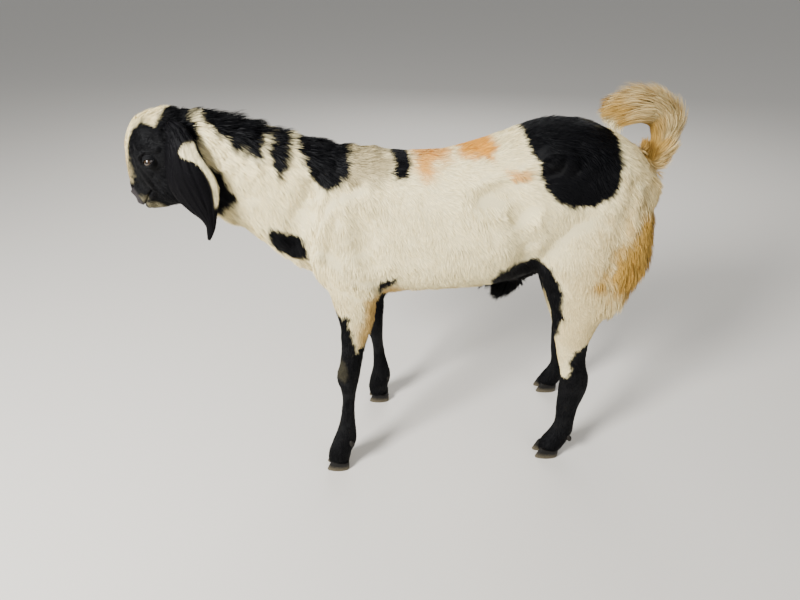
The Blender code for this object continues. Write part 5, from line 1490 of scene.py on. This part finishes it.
@dataclass(frozen=True)
class Coat:
    """Hair as thin solid tufts that are rooted on a surface and follow the combs."""

    field: CombField
    marks: Markings
    seed: int = 5
    long_hair: float = 0.026  # from this length a tuft has more bends
    clump: float = 0.011  # how wide a lock is whose tips gather
    gather: float = 0.42  # how far they do
    warp: tuple[int, float, float] = (30, 0.017, 0.02)  # seed, size and strength of the locks' bent borders
    swirls: tuple = ((21, 0.035, 0.9), (22, 0.012, 0.7))  # seed, size and strength of the whirls
    wave: tuple[int, float] = (23, 0.02)  # seed and size of the waves of longer and taller hair
    lengths: tuple[float, float] = (0.75, 1.15)  # least and most length of a tuft, as a share
    stands: tuple[float, float] = (0.7, 1.3)  # and how tall it stands
    widths: tuple[float, float] = (0.8, 1.2)
    stray: float = 0.10  # how far it strays from the combed way, in radians
    roll: float = 0.35  # and how far it is rolled
    rooted: float = 0.0012  # how deep it starts under the surface
    steer: float = 0.35  # how much the combs turn it again at each bend
    tail_steer: float = 0.9
    nose_loss: float = 0.97  # the share of the tufts that a bare place lacks
    shown: float = 0.5  # how far along its length a tuft shows its colour
    fewest: int = 40  # tufts of a kind that are worth a piece
    floor: float = 0.0008  # no tuft reaches lower
    ear_crowd: float = 20e4
    ear_hair: tuple[float, float] = (0.0008, math.radians(10))  # width and stand
    ear_length: tuple[float, float, float] = (0.0045, 0.003, 0.013)  # of all, more if pale, more at its top

    def roots(self, mesh: Mesh, crowd: Array, draw: Draw) -> dict[str, Array]:
        """Scatters roots over a surface.

        Args:
            mesh: The surface, with its bake map.
            crowd: How many roots a square metre each triangle gets.
            draw: The random draw.

        Returns:
            The roots' places, normals, places on the bake map, triangles' points and shares in them.
        """
        points, triangles, corners = points_of(mesh), triangles_of(mesh), triangles_of(mesh, "loops")
        flat = fetch(mesh.uv_layers[BAKE_MAP].data, "uv", 2)
        a, b, c = (points[triangles[:, k]] for k in range(3))
        area = np.linalg.norm(np.cross(b - a, c - a), axis=1) / 2
        reached = np.cumsum(area * crowd)
        count = int(reached[-1])
        spots = (np.arange(count) + draw.random(count)) / count * reached[-1]
        chosen = np.minimum(np.searchsorted(reached, spots), len(area) - 1)
        first, second = draw.random(count), draw.random(count)
        over = first + second > 1
        first[over], second[over] = 1 - first[over], 1 - second[over]
        share = np.stack([1 - first - second, first, second], 1)[:, :, None]
        return {
            "place": (points[triangles[chosen]] * share).sum(1),
            "normal": unit((normals_of(mesh)[triangles[chosen]] * share).sum(1)),
            "uv": (flat[corners[chosen]] * share).sum(1),
            "corner": triangles[chosen],
            "share": share,
        }

    def at_roots(self, mesh: Mesh, name: str, width: int, roots: dict[str, Array]) -> Array:
        """Reads a layer of the surface at each root."""
        return (read_layer(mesh, name, width)[roots["corner"]] * roots["share"]).sum(1)

    def grow(self, roots: dict[str, Array], sizes: dict[str, Array], stations: int, tones: Array,
             draw: Draw, steer: float = 0.0) -> Mesh:
        """Grows one tuft from each root.

        Args:
            roots: Places, normals and bake places of the roots.
            sizes: Way, length, stand and width of each tuft.
            stations: How many places each tuft is bent through.
            tones: The markings at each root.
            draw: The random draw.
            steer: How much the combs turn a tuft again at each bend.

        Returns:
            A mesh with all the tufts.
        """
        place, normal = roots["place"], roots["normal"]
        count = len(place)
        way = unit(sizes["way"] - normal * (sizes["way"] * normal).sum(1, keepdims=True))
        side = np.cross(way, normal)
        swirl = sum((Grain(seed).at(place, size) - 0.5) * much for seed, size, much in self.swirls)
        turn = (swirl + draw.normal(0.0, self.stray, count))[:, None]
        way = unit(way * np.cos(turn) + side * np.sin(turn))
        side = np.cross(way, normal)
        seed, size = self.wave
        wave = Grain(seed).at(place, size)
        length = sizes["length"] * draw.uniform(*self.lengths, count) * (0.85 + 0.3 * wave)
        stand = sizes["stand"] * (0.6 + 0.8 * wave) * draw.uniform(*self.stands, count)
        roll = draw.normal(0.0, self.roll, count)[:, None]
        edge = side * np.cos(roll) + normal * np.sin(roll)
        steps = stations - 1
        line = [place - normal * np.minimum(self.rooted, 0.06 * length)[:, None]]
        heading = way
        for step in range(steps):
            share = (step + 0.5) / steps
            lift = (stand * (1.0 - share) ** 1.2)[:, None]
            move = heading * np.cos(lift) + normal * np.sin(lift)
            if steps > 2:
                move = unit(move + steer * self.field.sizes(line[-1])["way"] * share)
            line.append(line[-1] + move * (length / steps)[:, None])
            heading = unit(move - normal * (move * normal).sum(1, keepdims=True) * 0.5)
        line = self.gathered(np.stack(line, 1), self.locks(place), length)
        width = sizes["width"] * draw.uniform(*self.widths, count)
        return self.tuft_mesh(line, edge, width, roots["uv"], tones, draw)

    def locks(self, places: Array) -> Array:
        """Parts the coat into locks.

        Args:
            places: The tufts' roots.

        Returns:
            For each root the number of the lock that its tip gathers in.
        """
        seed, size, much = self.warp
        warp = np.stack([Grain(seed + k).at(places, size) for k in range(3)], 1) * much
        cells = np.floor((places + warp) / self.clump).astype(np.int64)
        key = (cells * np.array(CELL_PRIMES)).sum(1)
        return np.unique(key, return_inverse=True)[1].ravel()

    def gathered(self, line: Array, lock: Array, length: Array) -> Array:
        """Draws the tips of each lock together.

        Args:
            line: The places that each tuft passes through.
            lock: The number of its lock.
            length: Its length.

        Returns:
            The places after that, none of them below the floor.
        """
        tips = np.zeros((lock.max() + 1, 3))
        members = np.bincount(lock, minlength=len(tips))[:, None]
        np.add.at(tips, lock, line[:, -1])
        away = (tips / np.maximum(members, 1))[lock] - line[:, -1]
        reach = np.linalg.norm(away, axis=1)
        pull = self.gather * np.exp(-((reach / (0.9 * np.maximum(length, 0.004))) ** 2))
        steps = line.shape[1] - 1
        for step in range(1, steps + 1):
            line[:, step] += away * (pull * (step / steps) ** 2)[:, None]
        line[:, :, 2] = np.maximum(line[:, :, 2], self.floor)
        return line

    def tuft_mesh(self, line: Array, edge: Array, width: Array, flat: Array, tones: Array,
                  draw: Draw) -> Mesh:
        """Turns the tufts' middle lines into flat tapered blades.

        Args:
            line: The places that each tuft passes through.
            edge: The way across each tuft.
            width: The width of each tuft.
            flat: Each root's place on the bake map.
            tones: The markings at each root.
            draw: The random draw.

        Returns:
            The mesh of the blades.
        """
        count, stations = line.shape[:2]
        shares = np.arange(stations - 1) / (stations - 1)
        half = 0.5 * width[:, None] * (0.75 + 0.9 * shares - 1.25 * shares**2)
        half = edge[:, None] * half[:, :, None]
        pairs = np.stack([line[:, :-1] - half, line[:, :-1] + half], 2).reshape(count, -1, 3)
        points = np.concatenate([pairs, line[:, -1:]], 1)
        each = points.shape[1]
        faces = []
        for low in range(0, 2 * stations - 4, 2):
            faces += [(low, low + 1, low + 3), (low, low + 3, low + 2)]
        faces.append((each - 3, each - 2, each - 1))
        triangles = (np.arange(count)[:, None, None] * each + np.array(faces)).reshape(-1)
        strand = np.concatenate([np.repeat(shares, 2), [1.0]])
        spread = np.concatenate([np.tile((-0.5, 0.5), stations - 1), [0.0]])
        uv = (flat[:, None] + np.stack([spread, strand - 0.5], 1) * PATCH).reshape(-1, 2)
        mesh = bpy.data.meshes.new("tufts")
        mesh.vertices.add(count * each)
        mesh.vertices.foreach_set("co", points.astype(np.float32).ravel())
        mesh.loops.add(len(triangles))
        mesh.loops.foreach_set("vertex_index", triangles.astype(np.int32))
        mesh.polygons.add(len(triangles) // 3)
        mesh.polygons.foreach_set("loop_start", np.arange(0, len(triangles), 3, dtype=np.int32))
        layer = mesh.uv_layers.new(name=BAKE_MAP)
        layer.data.foreach_set("uv", uv[triangles].astype(np.float32).ravel())
        mesh.update(calc_edges=True)
        add_layer(mesh, MARK_LAYER, np.repeat(tones, each, 0))
        add_layer(mesh, STRAND_LAYER, np.tile(strand, count))
        add_layer(mesh, TUFT_LAYER, np.repeat(draw.random(count), each))
        mesh.shade_smooth()
        return mesh

    def cover(self, skin: Mesh, finish: Material) -> None:
        """Grows the whole coat over the skin, in one piece for each part, side and length.

        Args:
            skin: The skin's mesh.
            finish: The hair's material.
        """
        draw = np.random.default_rng(self.seed)
        triangles = triangles_of(skin)
        middles = points_of(skin)[triangles].mean(1)
        crowd = self.field.sizes(middles)["crowd"]
        crowd *= 1.0 - self.nose_loss * read_layer(skin, BARE_LAYER, 1)[:, 0][triangles].mean(1)
        for sign in SIDES.values():
            crowd *= Eye(sign).clear(middles)
        roots = self.roots(skin, crowd, draw)
        sizes = self.field.sizes(roots["place"])
        seen = self.at_roots(skin, OUTER_LAYER, 3, roots)
        seen += sizes["way"] * (self.shown * sizes["length"])[:, None]
        tones = self.marks.weights(seen)
        part = np.array([list(Part).index(comb.part) for comb in self.field.combs])[sizes["owner"]]
        right = roots["place"][:, 1] > 0
        is_long = sizes["length"] > self.long_hair
        for (index, name), (side, on_side), (kind, of_kind) in product(
                enumerate(Part), (("left", ~right), ("right", right)),
                (("short", ~is_long), ("long", is_long))):
            chosen = np.nonzero((part == index) & on_side & of_kind)[0]
            if len(chosen) < self.fewest:
                continue
            stations = 3 if kind == "short" else 6 if name is Part.TAIL else 5
            mesh = self.grow({key: roots[key][chosen] for key in ("place", "normal", "uv")},
                             {key: values[chosen] for key, values in sizes.items()}, stations,
                             tones[chosen], draw, self.tail_steer if name is Part.TAIL else self.steer)
            place_piece(f"coat_{name.value}_{side}_{kind}", mesh, finish)

    def cover_ear(self, ear: Mesh, side: str, finish: Material) -> None:
        """Grows the ear's short hair along the ear.

        Args:
            ear: The ear's mesh.
            side: left or right.
            finish: The hair's material.
        """
        draw = np.random.default_rng(self.seed + (1 if side == "left" else 2))
        roots = self.roots(ear, np.full(len(triangles_of(ear)), self.ear_crowd), draw)
        tone = self.at_roots(ear, MARK_LAYER, 4, roots)
        top = EAR_ROWS[0][2] - roots["place"][:, 2]
        least, pale, tuft = self.ear_length
        length = least + pale * (1.0 - tone[:, 0]) + tuft * np.exp(-((top / 0.022) ** 2))
        width, stand = (np.full(len(length), value) for value in self.ear_hair)
        sizes = {"way": self.at_roots(ear, LIE_LAYER, 3, roots), "length": length, "stand": stand,
                 "width": width}
        mesh = self.grow(roots, sizes, 3, tone, draw)
        place_piece(f"coat_ear_{side}", mesh, finish)


@dataclass(frozen=True)
class GoatHair:
    """Coarse goat guard hair, cream with black, gold, tan and orange: soft, with a faint long gleam."""

    cream: str = "FBECB8"
    black: str = "040406"
    gold: str = "B88D38"
    tan: str = "B09F76"
    orange: str = "E39D36"
    roughness: float = 0.58
    ior: float = 1.55
    gleam: float = 0.08

    def colour(self, tree: NodeTree) -> NodeSocket:
        """Mixes the tones by the markings that the mesh carries.

        Args:
            tree: The material's node tree.

        Returns:
            The socket of the mixed colour.
        """
        marks = add_node(tree, "ShaderNodeAttribute", {"attribute_name": MARK_LAYER})
        parts = add_node(tree, "ShaderNodeSeparateColor", links={0: marks.outputs["Color"]})
        black, gold, tan = parts.outputs
        base = add_node(tree, "ShaderNodeRGB")
        base.outputs[0].default_value = linear(self.cream)
        mixed = base.outputs[0]
        for amount, tone in ((gold, self.gold), (tan, self.tan), (marks.outputs["Alpha"], self.orange),
                             (black, self.black)):
            mix = add_node(tree, "ShaderNodeMix", {"data_type": "RGBA", "B": linear(tone)},
                           {"Factor": amount, "A": mixed})
            mixed = mix.outputs["Result"]
        return mixed

    def shaded(self, tree: NodeTree, value: NodeSocket) -> NodeSocket:
        """Gives the mixed colour, lit up or darkened by a value.

        Args:
            tree: The material's node tree.
            value: The value.

        Returns:
            The socket of the colour.
        """
        return add_node(tree, "ShaderNodeHueSaturation",
                        links={"Value": value, "Color": self.colour(tree)}).outputs[0]

    def make(self) -> Material:
        """Makes the hair: darker at the roots as painted shade deep in the coat, and no two tufts quite
        alike.

        Returns:
            The material.
        """
        material, tree, sockets = new_material("goat_hair", {
            "Roughness": self.roughness, "IOR": self.ior, "Specular IOR Level": self.gleam})
        strand = add_node(tree, "ShaderNodeAttribute", {"attribute_name": STRAND_LAYER})
        tuft = add_node(tree, "ShaderNodeAttribute", {"attribute_name": TUFT_LAYER})
        # painted shade: each tuft goes from 0.68 of its colour at the root up to 1.06 from 0.8 along it
        along = add_node(tree, "ShaderNodeMapRange", {"From Max": 0.8, "To Min": 0.68, "To Max": 1.06},
                         {0: strand.outputs["Fac"]})
        each = add_node(tree, "ShaderNodeMapRange", {"To Min": 0.80, "To Max": 1.08},
                        {0: tuft.outputs["Fac"]})
        value = add_node(tree, "ShaderNodeMath", {"operation": "MULTIPLY"},
                         {0: along.outputs[0], 1: each.outputs[0]})
        tree.links.new(self.shaded(tree, value.outputs[0]), sockets["Base Color"])
        return material


@dataclass(frozen=True)
class GoatSkin:
    """Skin under the coat: the coat's own colours, streaked like close hair, and bare wet-grey nose."""

    hair: GoatHair = GoatHair()
    bare: str = "2A2627"
    streak_mm: float = 1.5
    pebble_mm: float = 0.9

    def make(self) -> Material:
        """Makes the skin with its streaks and its pebbled nose.

        Returns:
            The material.
        """
        material, tree, sockets = new_material("goat_skin", {"Specular IOR Level": 0.20})
        place = add_node(tree, "ShaderNodeTexCoord").outputs["Object"]
        streak = add_node(tree, "ShaderNodeTexNoise", {"Scale": 1000 / self.streak_mm, "Detail": 3.0},
                          {"Vector": place}).outputs["Fac"]
        pebble = add_node(tree, "ShaderNodeTexVoronoi", {"Scale": 1000 / self.pebble_mm}, {"Vector": place})
        bare = add_node(tree, "ShaderNodeAttribute", {"attribute_name": BARE_LAYER}).outputs["Fac"]
        dim = add_node(tree, "ShaderNodeMapRange", {"To Min": 0.62, "To Max": 0.92}, {0: streak})
        coat = self.hair.shaded(tree, dim.outputs[0])
        mix = add_node(tree, "ShaderNodeMix", {"data_type": "RGBA", "B": linear(self.bare)},
                       {"Factor": bare, "A": coat})
        tree.links.new(mix.outputs["Result"], sockets["Base Color"])
        height = add_node(tree, "ShaderNodeMix", {"data_type": "FLOAT"},
                          {"Factor": bare, "A": streak, "B": pebble.outputs["Distance"]})
        bump = add_node(tree, "ShaderNodeBump", {"Strength": 0.5, "Distance": 0.0006},
                        {"Height": height.outputs["Result"]})
        tree.links.new(bump.outputs[0], sockets["Normal"])
        gloss = add_node(tree, "ShaderNodeMapRange", {"To Min": 0.75, "To Max": 0.38}, {0: bare})
        tree.links.new(gloss.outputs[0], sockets["Roughness"])
        return material


@dataclass(frozen=True)
class EarSkin:
    """Thin near-hairless ear: dark grey-violet leather with fine veins and a soft sheen."""

    hair: GoatHair = GoatHair(black="08070A")
    vein_mm: float = 6.0

    def make(self) -> Material:
        """Makes the ear's leather.

        Returns:
            The material.
        """
        material, tree, sockets = new_material("ear_skin", {"Roughness": 0.6, "Specular IOR Level": 0.06})
        place = add_node(tree, "ShaderNodeTexCoord").outputs["Object"]
        stretch = add_node(tree, "ShaderNodeMapping", {"Scale": (1.0, 1.0, 0.25)}, {"Vector": place})
        vein = add_node(tree, "ShaderNodeTexNoise", {"Scale": 1000 / self.vein_mm, "Detail": 4.0},
                        {"Vector": stretch.outputs[0]}).outputs["Fac"]
        value = add_node(tree, "ShaderNodeMapRange", {"From Min": 0.3, "From Max": 0.7, "To Min": 0.4,
                                                      "To Max": 0.9}, {0: vein})
        tree.links.new(self.hair.shaded(tree, value.outputs[0]), sockets["Base Color"])
        bump = add_node(tree, "ShaderNodeBump", {"Strength": 0.4, "Distance": 0.0008}, {"Height": vein})
        tree.links.new(bump.outputs[0], sockets["Normal"])
        return material


@dataclass(frozen=True)
class HoofHorn:
    """Keratin horn: grey and cream, ringed by growth, scuffed and dusty at the floor."""

    low: str = "5C5443"
    high: str = "100E0C"
    ring_mm: float = 3.0

    def make(self) -> Material:
        """Makes the horn with its growth rings.

        Returns:
            The material.
        """
        material, tree, sockets = new_material("hoof_horn", {"Specular IOR Level": 0.20})
        place = add_node(tree, "ShaderNodeTexCoord").outputs["Object"]
        split = add_node(tree, "ShaderNodeSeparateXYZ", links={0: place})
        rings = add_node(tree, "ShaderNodeTexWave", {"bands_direction": "Z", "Scale": 314 / self.ring_mm,
                                                     "Distortion": 2.5, "Detail": 3.0}, {"Vector": place})
        scuff = add_node(tree, "ShaderNodeTexNoise", {"Scale": 260.0, "Detail": 5.0},
                         {"Vector": place}).outputs["Fac"]
        level = add_node(tree, "ShaderNodeMapRange", {"From Min": 0.004, "From Max": 0.030},
                         {0: split.outputs["Z"]})
        shift = add_node(tree, "ShaderNodeMath", {"operation": "MULTIPLY_ADD", 1: 0.5},
                         {0: scuff, 2: level.outputs[0]})
        tree.links.new(fade(tree, shift.outputs[0], (self.low, self.high), 0.15, 0.80), sockets["Base Color"])
        bump = add_node(tree, "ShaderNodeBump", {"Strength": 0.22, "Distance": 0.0004},
                        {"Height": rings.outputs["Fac"]})
        tree.links.new(bump.outputs[0], sockets["Normal"])
        rough = add_node(tree, "ShaderNodeMapRange", {"To Min": 0.45, "To Max": 0.75}, {0: scuff})
        tree.links.new(rough.outputs[0], sockets["Roughness"])
        return material


@dataclass(frozen=True)
class WetEye:
    """Wet eyeball: an amber iris with fine rays, darkened to deep brown partly as painted shade under the
    brow, and a level slot pupil under a clear, glossy cornea.
    """

    # painted shade: iris, rim and white are all kept dark, partly the eye's own tone and partly the shade of
    # the brow
    iris: str = "33210B"
    rim: str = "120A04"
    white: str = "2A1F1A"
    pupil: str = "050506"
    iris_size: float = 0.62  # this and the next are in eye radii
    pupil_half: tuple[float, float] = (0.34, 0.13)

    def make(self) -> Material:
        """Makes the eye from the look that its mesh carries: along, up and out, in eye radii.

        Returns:
            The material.
        """
        material, tree, sockets = new_material("wet_eye", {
            "Roughness": 0.18, "Coat Weight": 1.0, "Coat Roughness": 0.03, "Coat IOR": 1.38})
        look = add_node(tree, "ShaderNodeAttribute", {"attribute_name": LOOK_LAYER})
        along, up, _ = add_node(tree, "ShaderNodeSeparateXYZ", links={0: look.outputs["Vector"]}).outputs
        flat = add_node(tree, "ShaderNodeCombineXYZ", links={0: along, 1: up})
        radius = add_node(tree, "ShaderNodeVectorMath", {"operation": "LENGTH"},
                          {0: flat.outputs[0]}).outputs["Value"]
        turn = add_node(tree, "ShaderNodeMath", {"operation": "ARCTAN2"}, {0: up, 1: along})
        ray_place = add_node(tree, "ShaderNodeCombineXYZ", links={0: turn.outputs[0], 1: radius})
        rays = add_node(tree, "ShaderNodeTexNoise", {"Scale": 9.0, "Detail": 4.0},
                        {"Vector": ray_place.outputs[0]})
        iris = fade(tree, rays.outputs["Fac"], (self.rim, self.iris), 0.25, 0.60)
        ringed = fade(tree, radius, (iris, self.rim), self.iris_size - 0.14, self.iris_size)
        whole = fade(tree, radius, (ringed, self.white), self.iris_size, self.iris_size + 0.08)
        slot = add_node(tree, "ShaderNodeVectorMath", {"operation": "DIVIDE", 1: (*self.pupil_half, 1.0)},
                        {0: flat.outputs[0]})
        inside = add_node(tree, "ShaderNodeVectorMath", {"operation": "LENGTH"}, {0: slot.outputs[0]})
        seen = fade(tree, inside.outputs["Value"], (self.pupil, whole), 0.85, 1.05)
        tree.links.new(seen, sockets["Base Color"])
        return material


@dataclass(frozen=True)
class Studio:
    """Camera, floor and soft lights: a large key ahead of the goat, a fill and a back light."""

    place: tuple[float, float, float] = (-0.2626, -1.2376, 1.2)
    pitch: float = math.radians(32.0)
    yaw: float = math.radians(4.755)
    lens: float = 26.19
    sensor: float = 36.0
    floor_size: float = 30.0
    floor_colour: str = "D8D3CA"
    sky_colour: str = "EEF1F5"
    sky_power: float = 0.45
    aim: tuple[float, float, float] = (0, 0, 0.5)
    lights: tuple = (("key", (-2.1, -1.7, 2.3), 1.0, 262.0), ("fill", (2.2, -2.4, 2.0), 3.0, 30.0),
                     ("back", (0.6, 2.6, 2.4), 2.4, 60.0))

    def add_camera(self) -> None:
        """Sets the camera where the photograph was taken from."""
        data = bpy.data.cameras.new("camera")
        data.lens = self.lens
        data.sensor_width = self.sensor
        camera = add_object("camera", data)
        ahead = Vector((math.sin(self.yaw), math.cos(self.yaw), 0.0)) * math.cos(self.pitch)
        ahead.z = -math.sin(self.pitch)
        camera.location = Vector(self.place) + Vector(BODY_SHIFT)
        camera.rotation_euler = ahead.to_track_quat("-Z", "Y").to_euler()
        bpy.context.scene.camera = camera

    def add_floor(self) -> None:
        """Lays the pale floor."""
        shape = bmesh.new()
        bmesh.ops.create_grid(shape, x_segments=1, y_segments=1, size=self.floor_size)
        mesh = mesh_of(shape, "floor", outwards=False)
        material, _, sockets = new_material("studio_floor", {"Roughness": 0.85})
        sockets["Base Color"].default_value = linear(self.floor_colour)
        mesh.materials.append(material)
        floor = add_object("floor", mesh)

    def add_lights(self) -> None:
        """Hangs the lights under a pale sky."""
        for name, place, size, power in self.lights:
            data = bpy.data.lights.new(name, "AREA")
            data.shape = "DISK"
            data.size = size
            data.energy = power
            light = add_object(name, data)
            light.location = place
            light.rotation_euler = (Vector(self.aim) - light.location).to_track_quat("-Z", "Y").to_euler()
        world = bpy.data.worlds.new("studio")
        bpy.context.scene.world = world
        world.use_nodes = True
        sky = world.node_tree.nodes["Background"].inputs
        sky["Color"].default_value = linear(self.sky_colour)
        sky["Strength"].default_value = self.sky_power


def main() -> None:
    """Builds every piece in order and reports it."""
    logging.basicConfig(level=logging.INFO, format="%(message)s")
    studio = Studio()
    studio.add_camera()
    studio.add_floor()
    studio.add_lights()

    field, marks = CombField(), Markings()
    hair = GoatHair().make()
    coat = Coat(field, marks)
    skin = Skin()
    skin_mesh = skin.build(field, marks)
    coat.cover(skin_mesh, hair)
    place_piece("skin", skin_mesh, GoatSkin().make(), skin.covers)

    leather, gloss, horn = EarSkin().make(), WetEye().make(), HoofHorn().make()
    for side, sign in SIDES.items():
        ear = Ear(sign).build()
        coat.cover_ear(ear, side, hair)
        place_piece(f"ear_leaf_{side}", ear, leather, (f"ear_{side}",))
        place_piece(f"eyeball_{side}", Eye(sign).build(), gloss, (f"eye_{side}",))
        for leg, (half, place) in product(REACH, ((-1, "outer"), (1, "inner"))):
            name = f"{leg}_{side}_{place}"
            claw = Hoof(leg, side, half * sign * -1).build()
            place_piece(f"claw_{name}", claw, horn, (f"hoof_{name}",))
    place_piece("dewclaws", Dewclaws().build(), HoofHorn(high="1C1915").make())


if __name__ == "__main__":
    main()
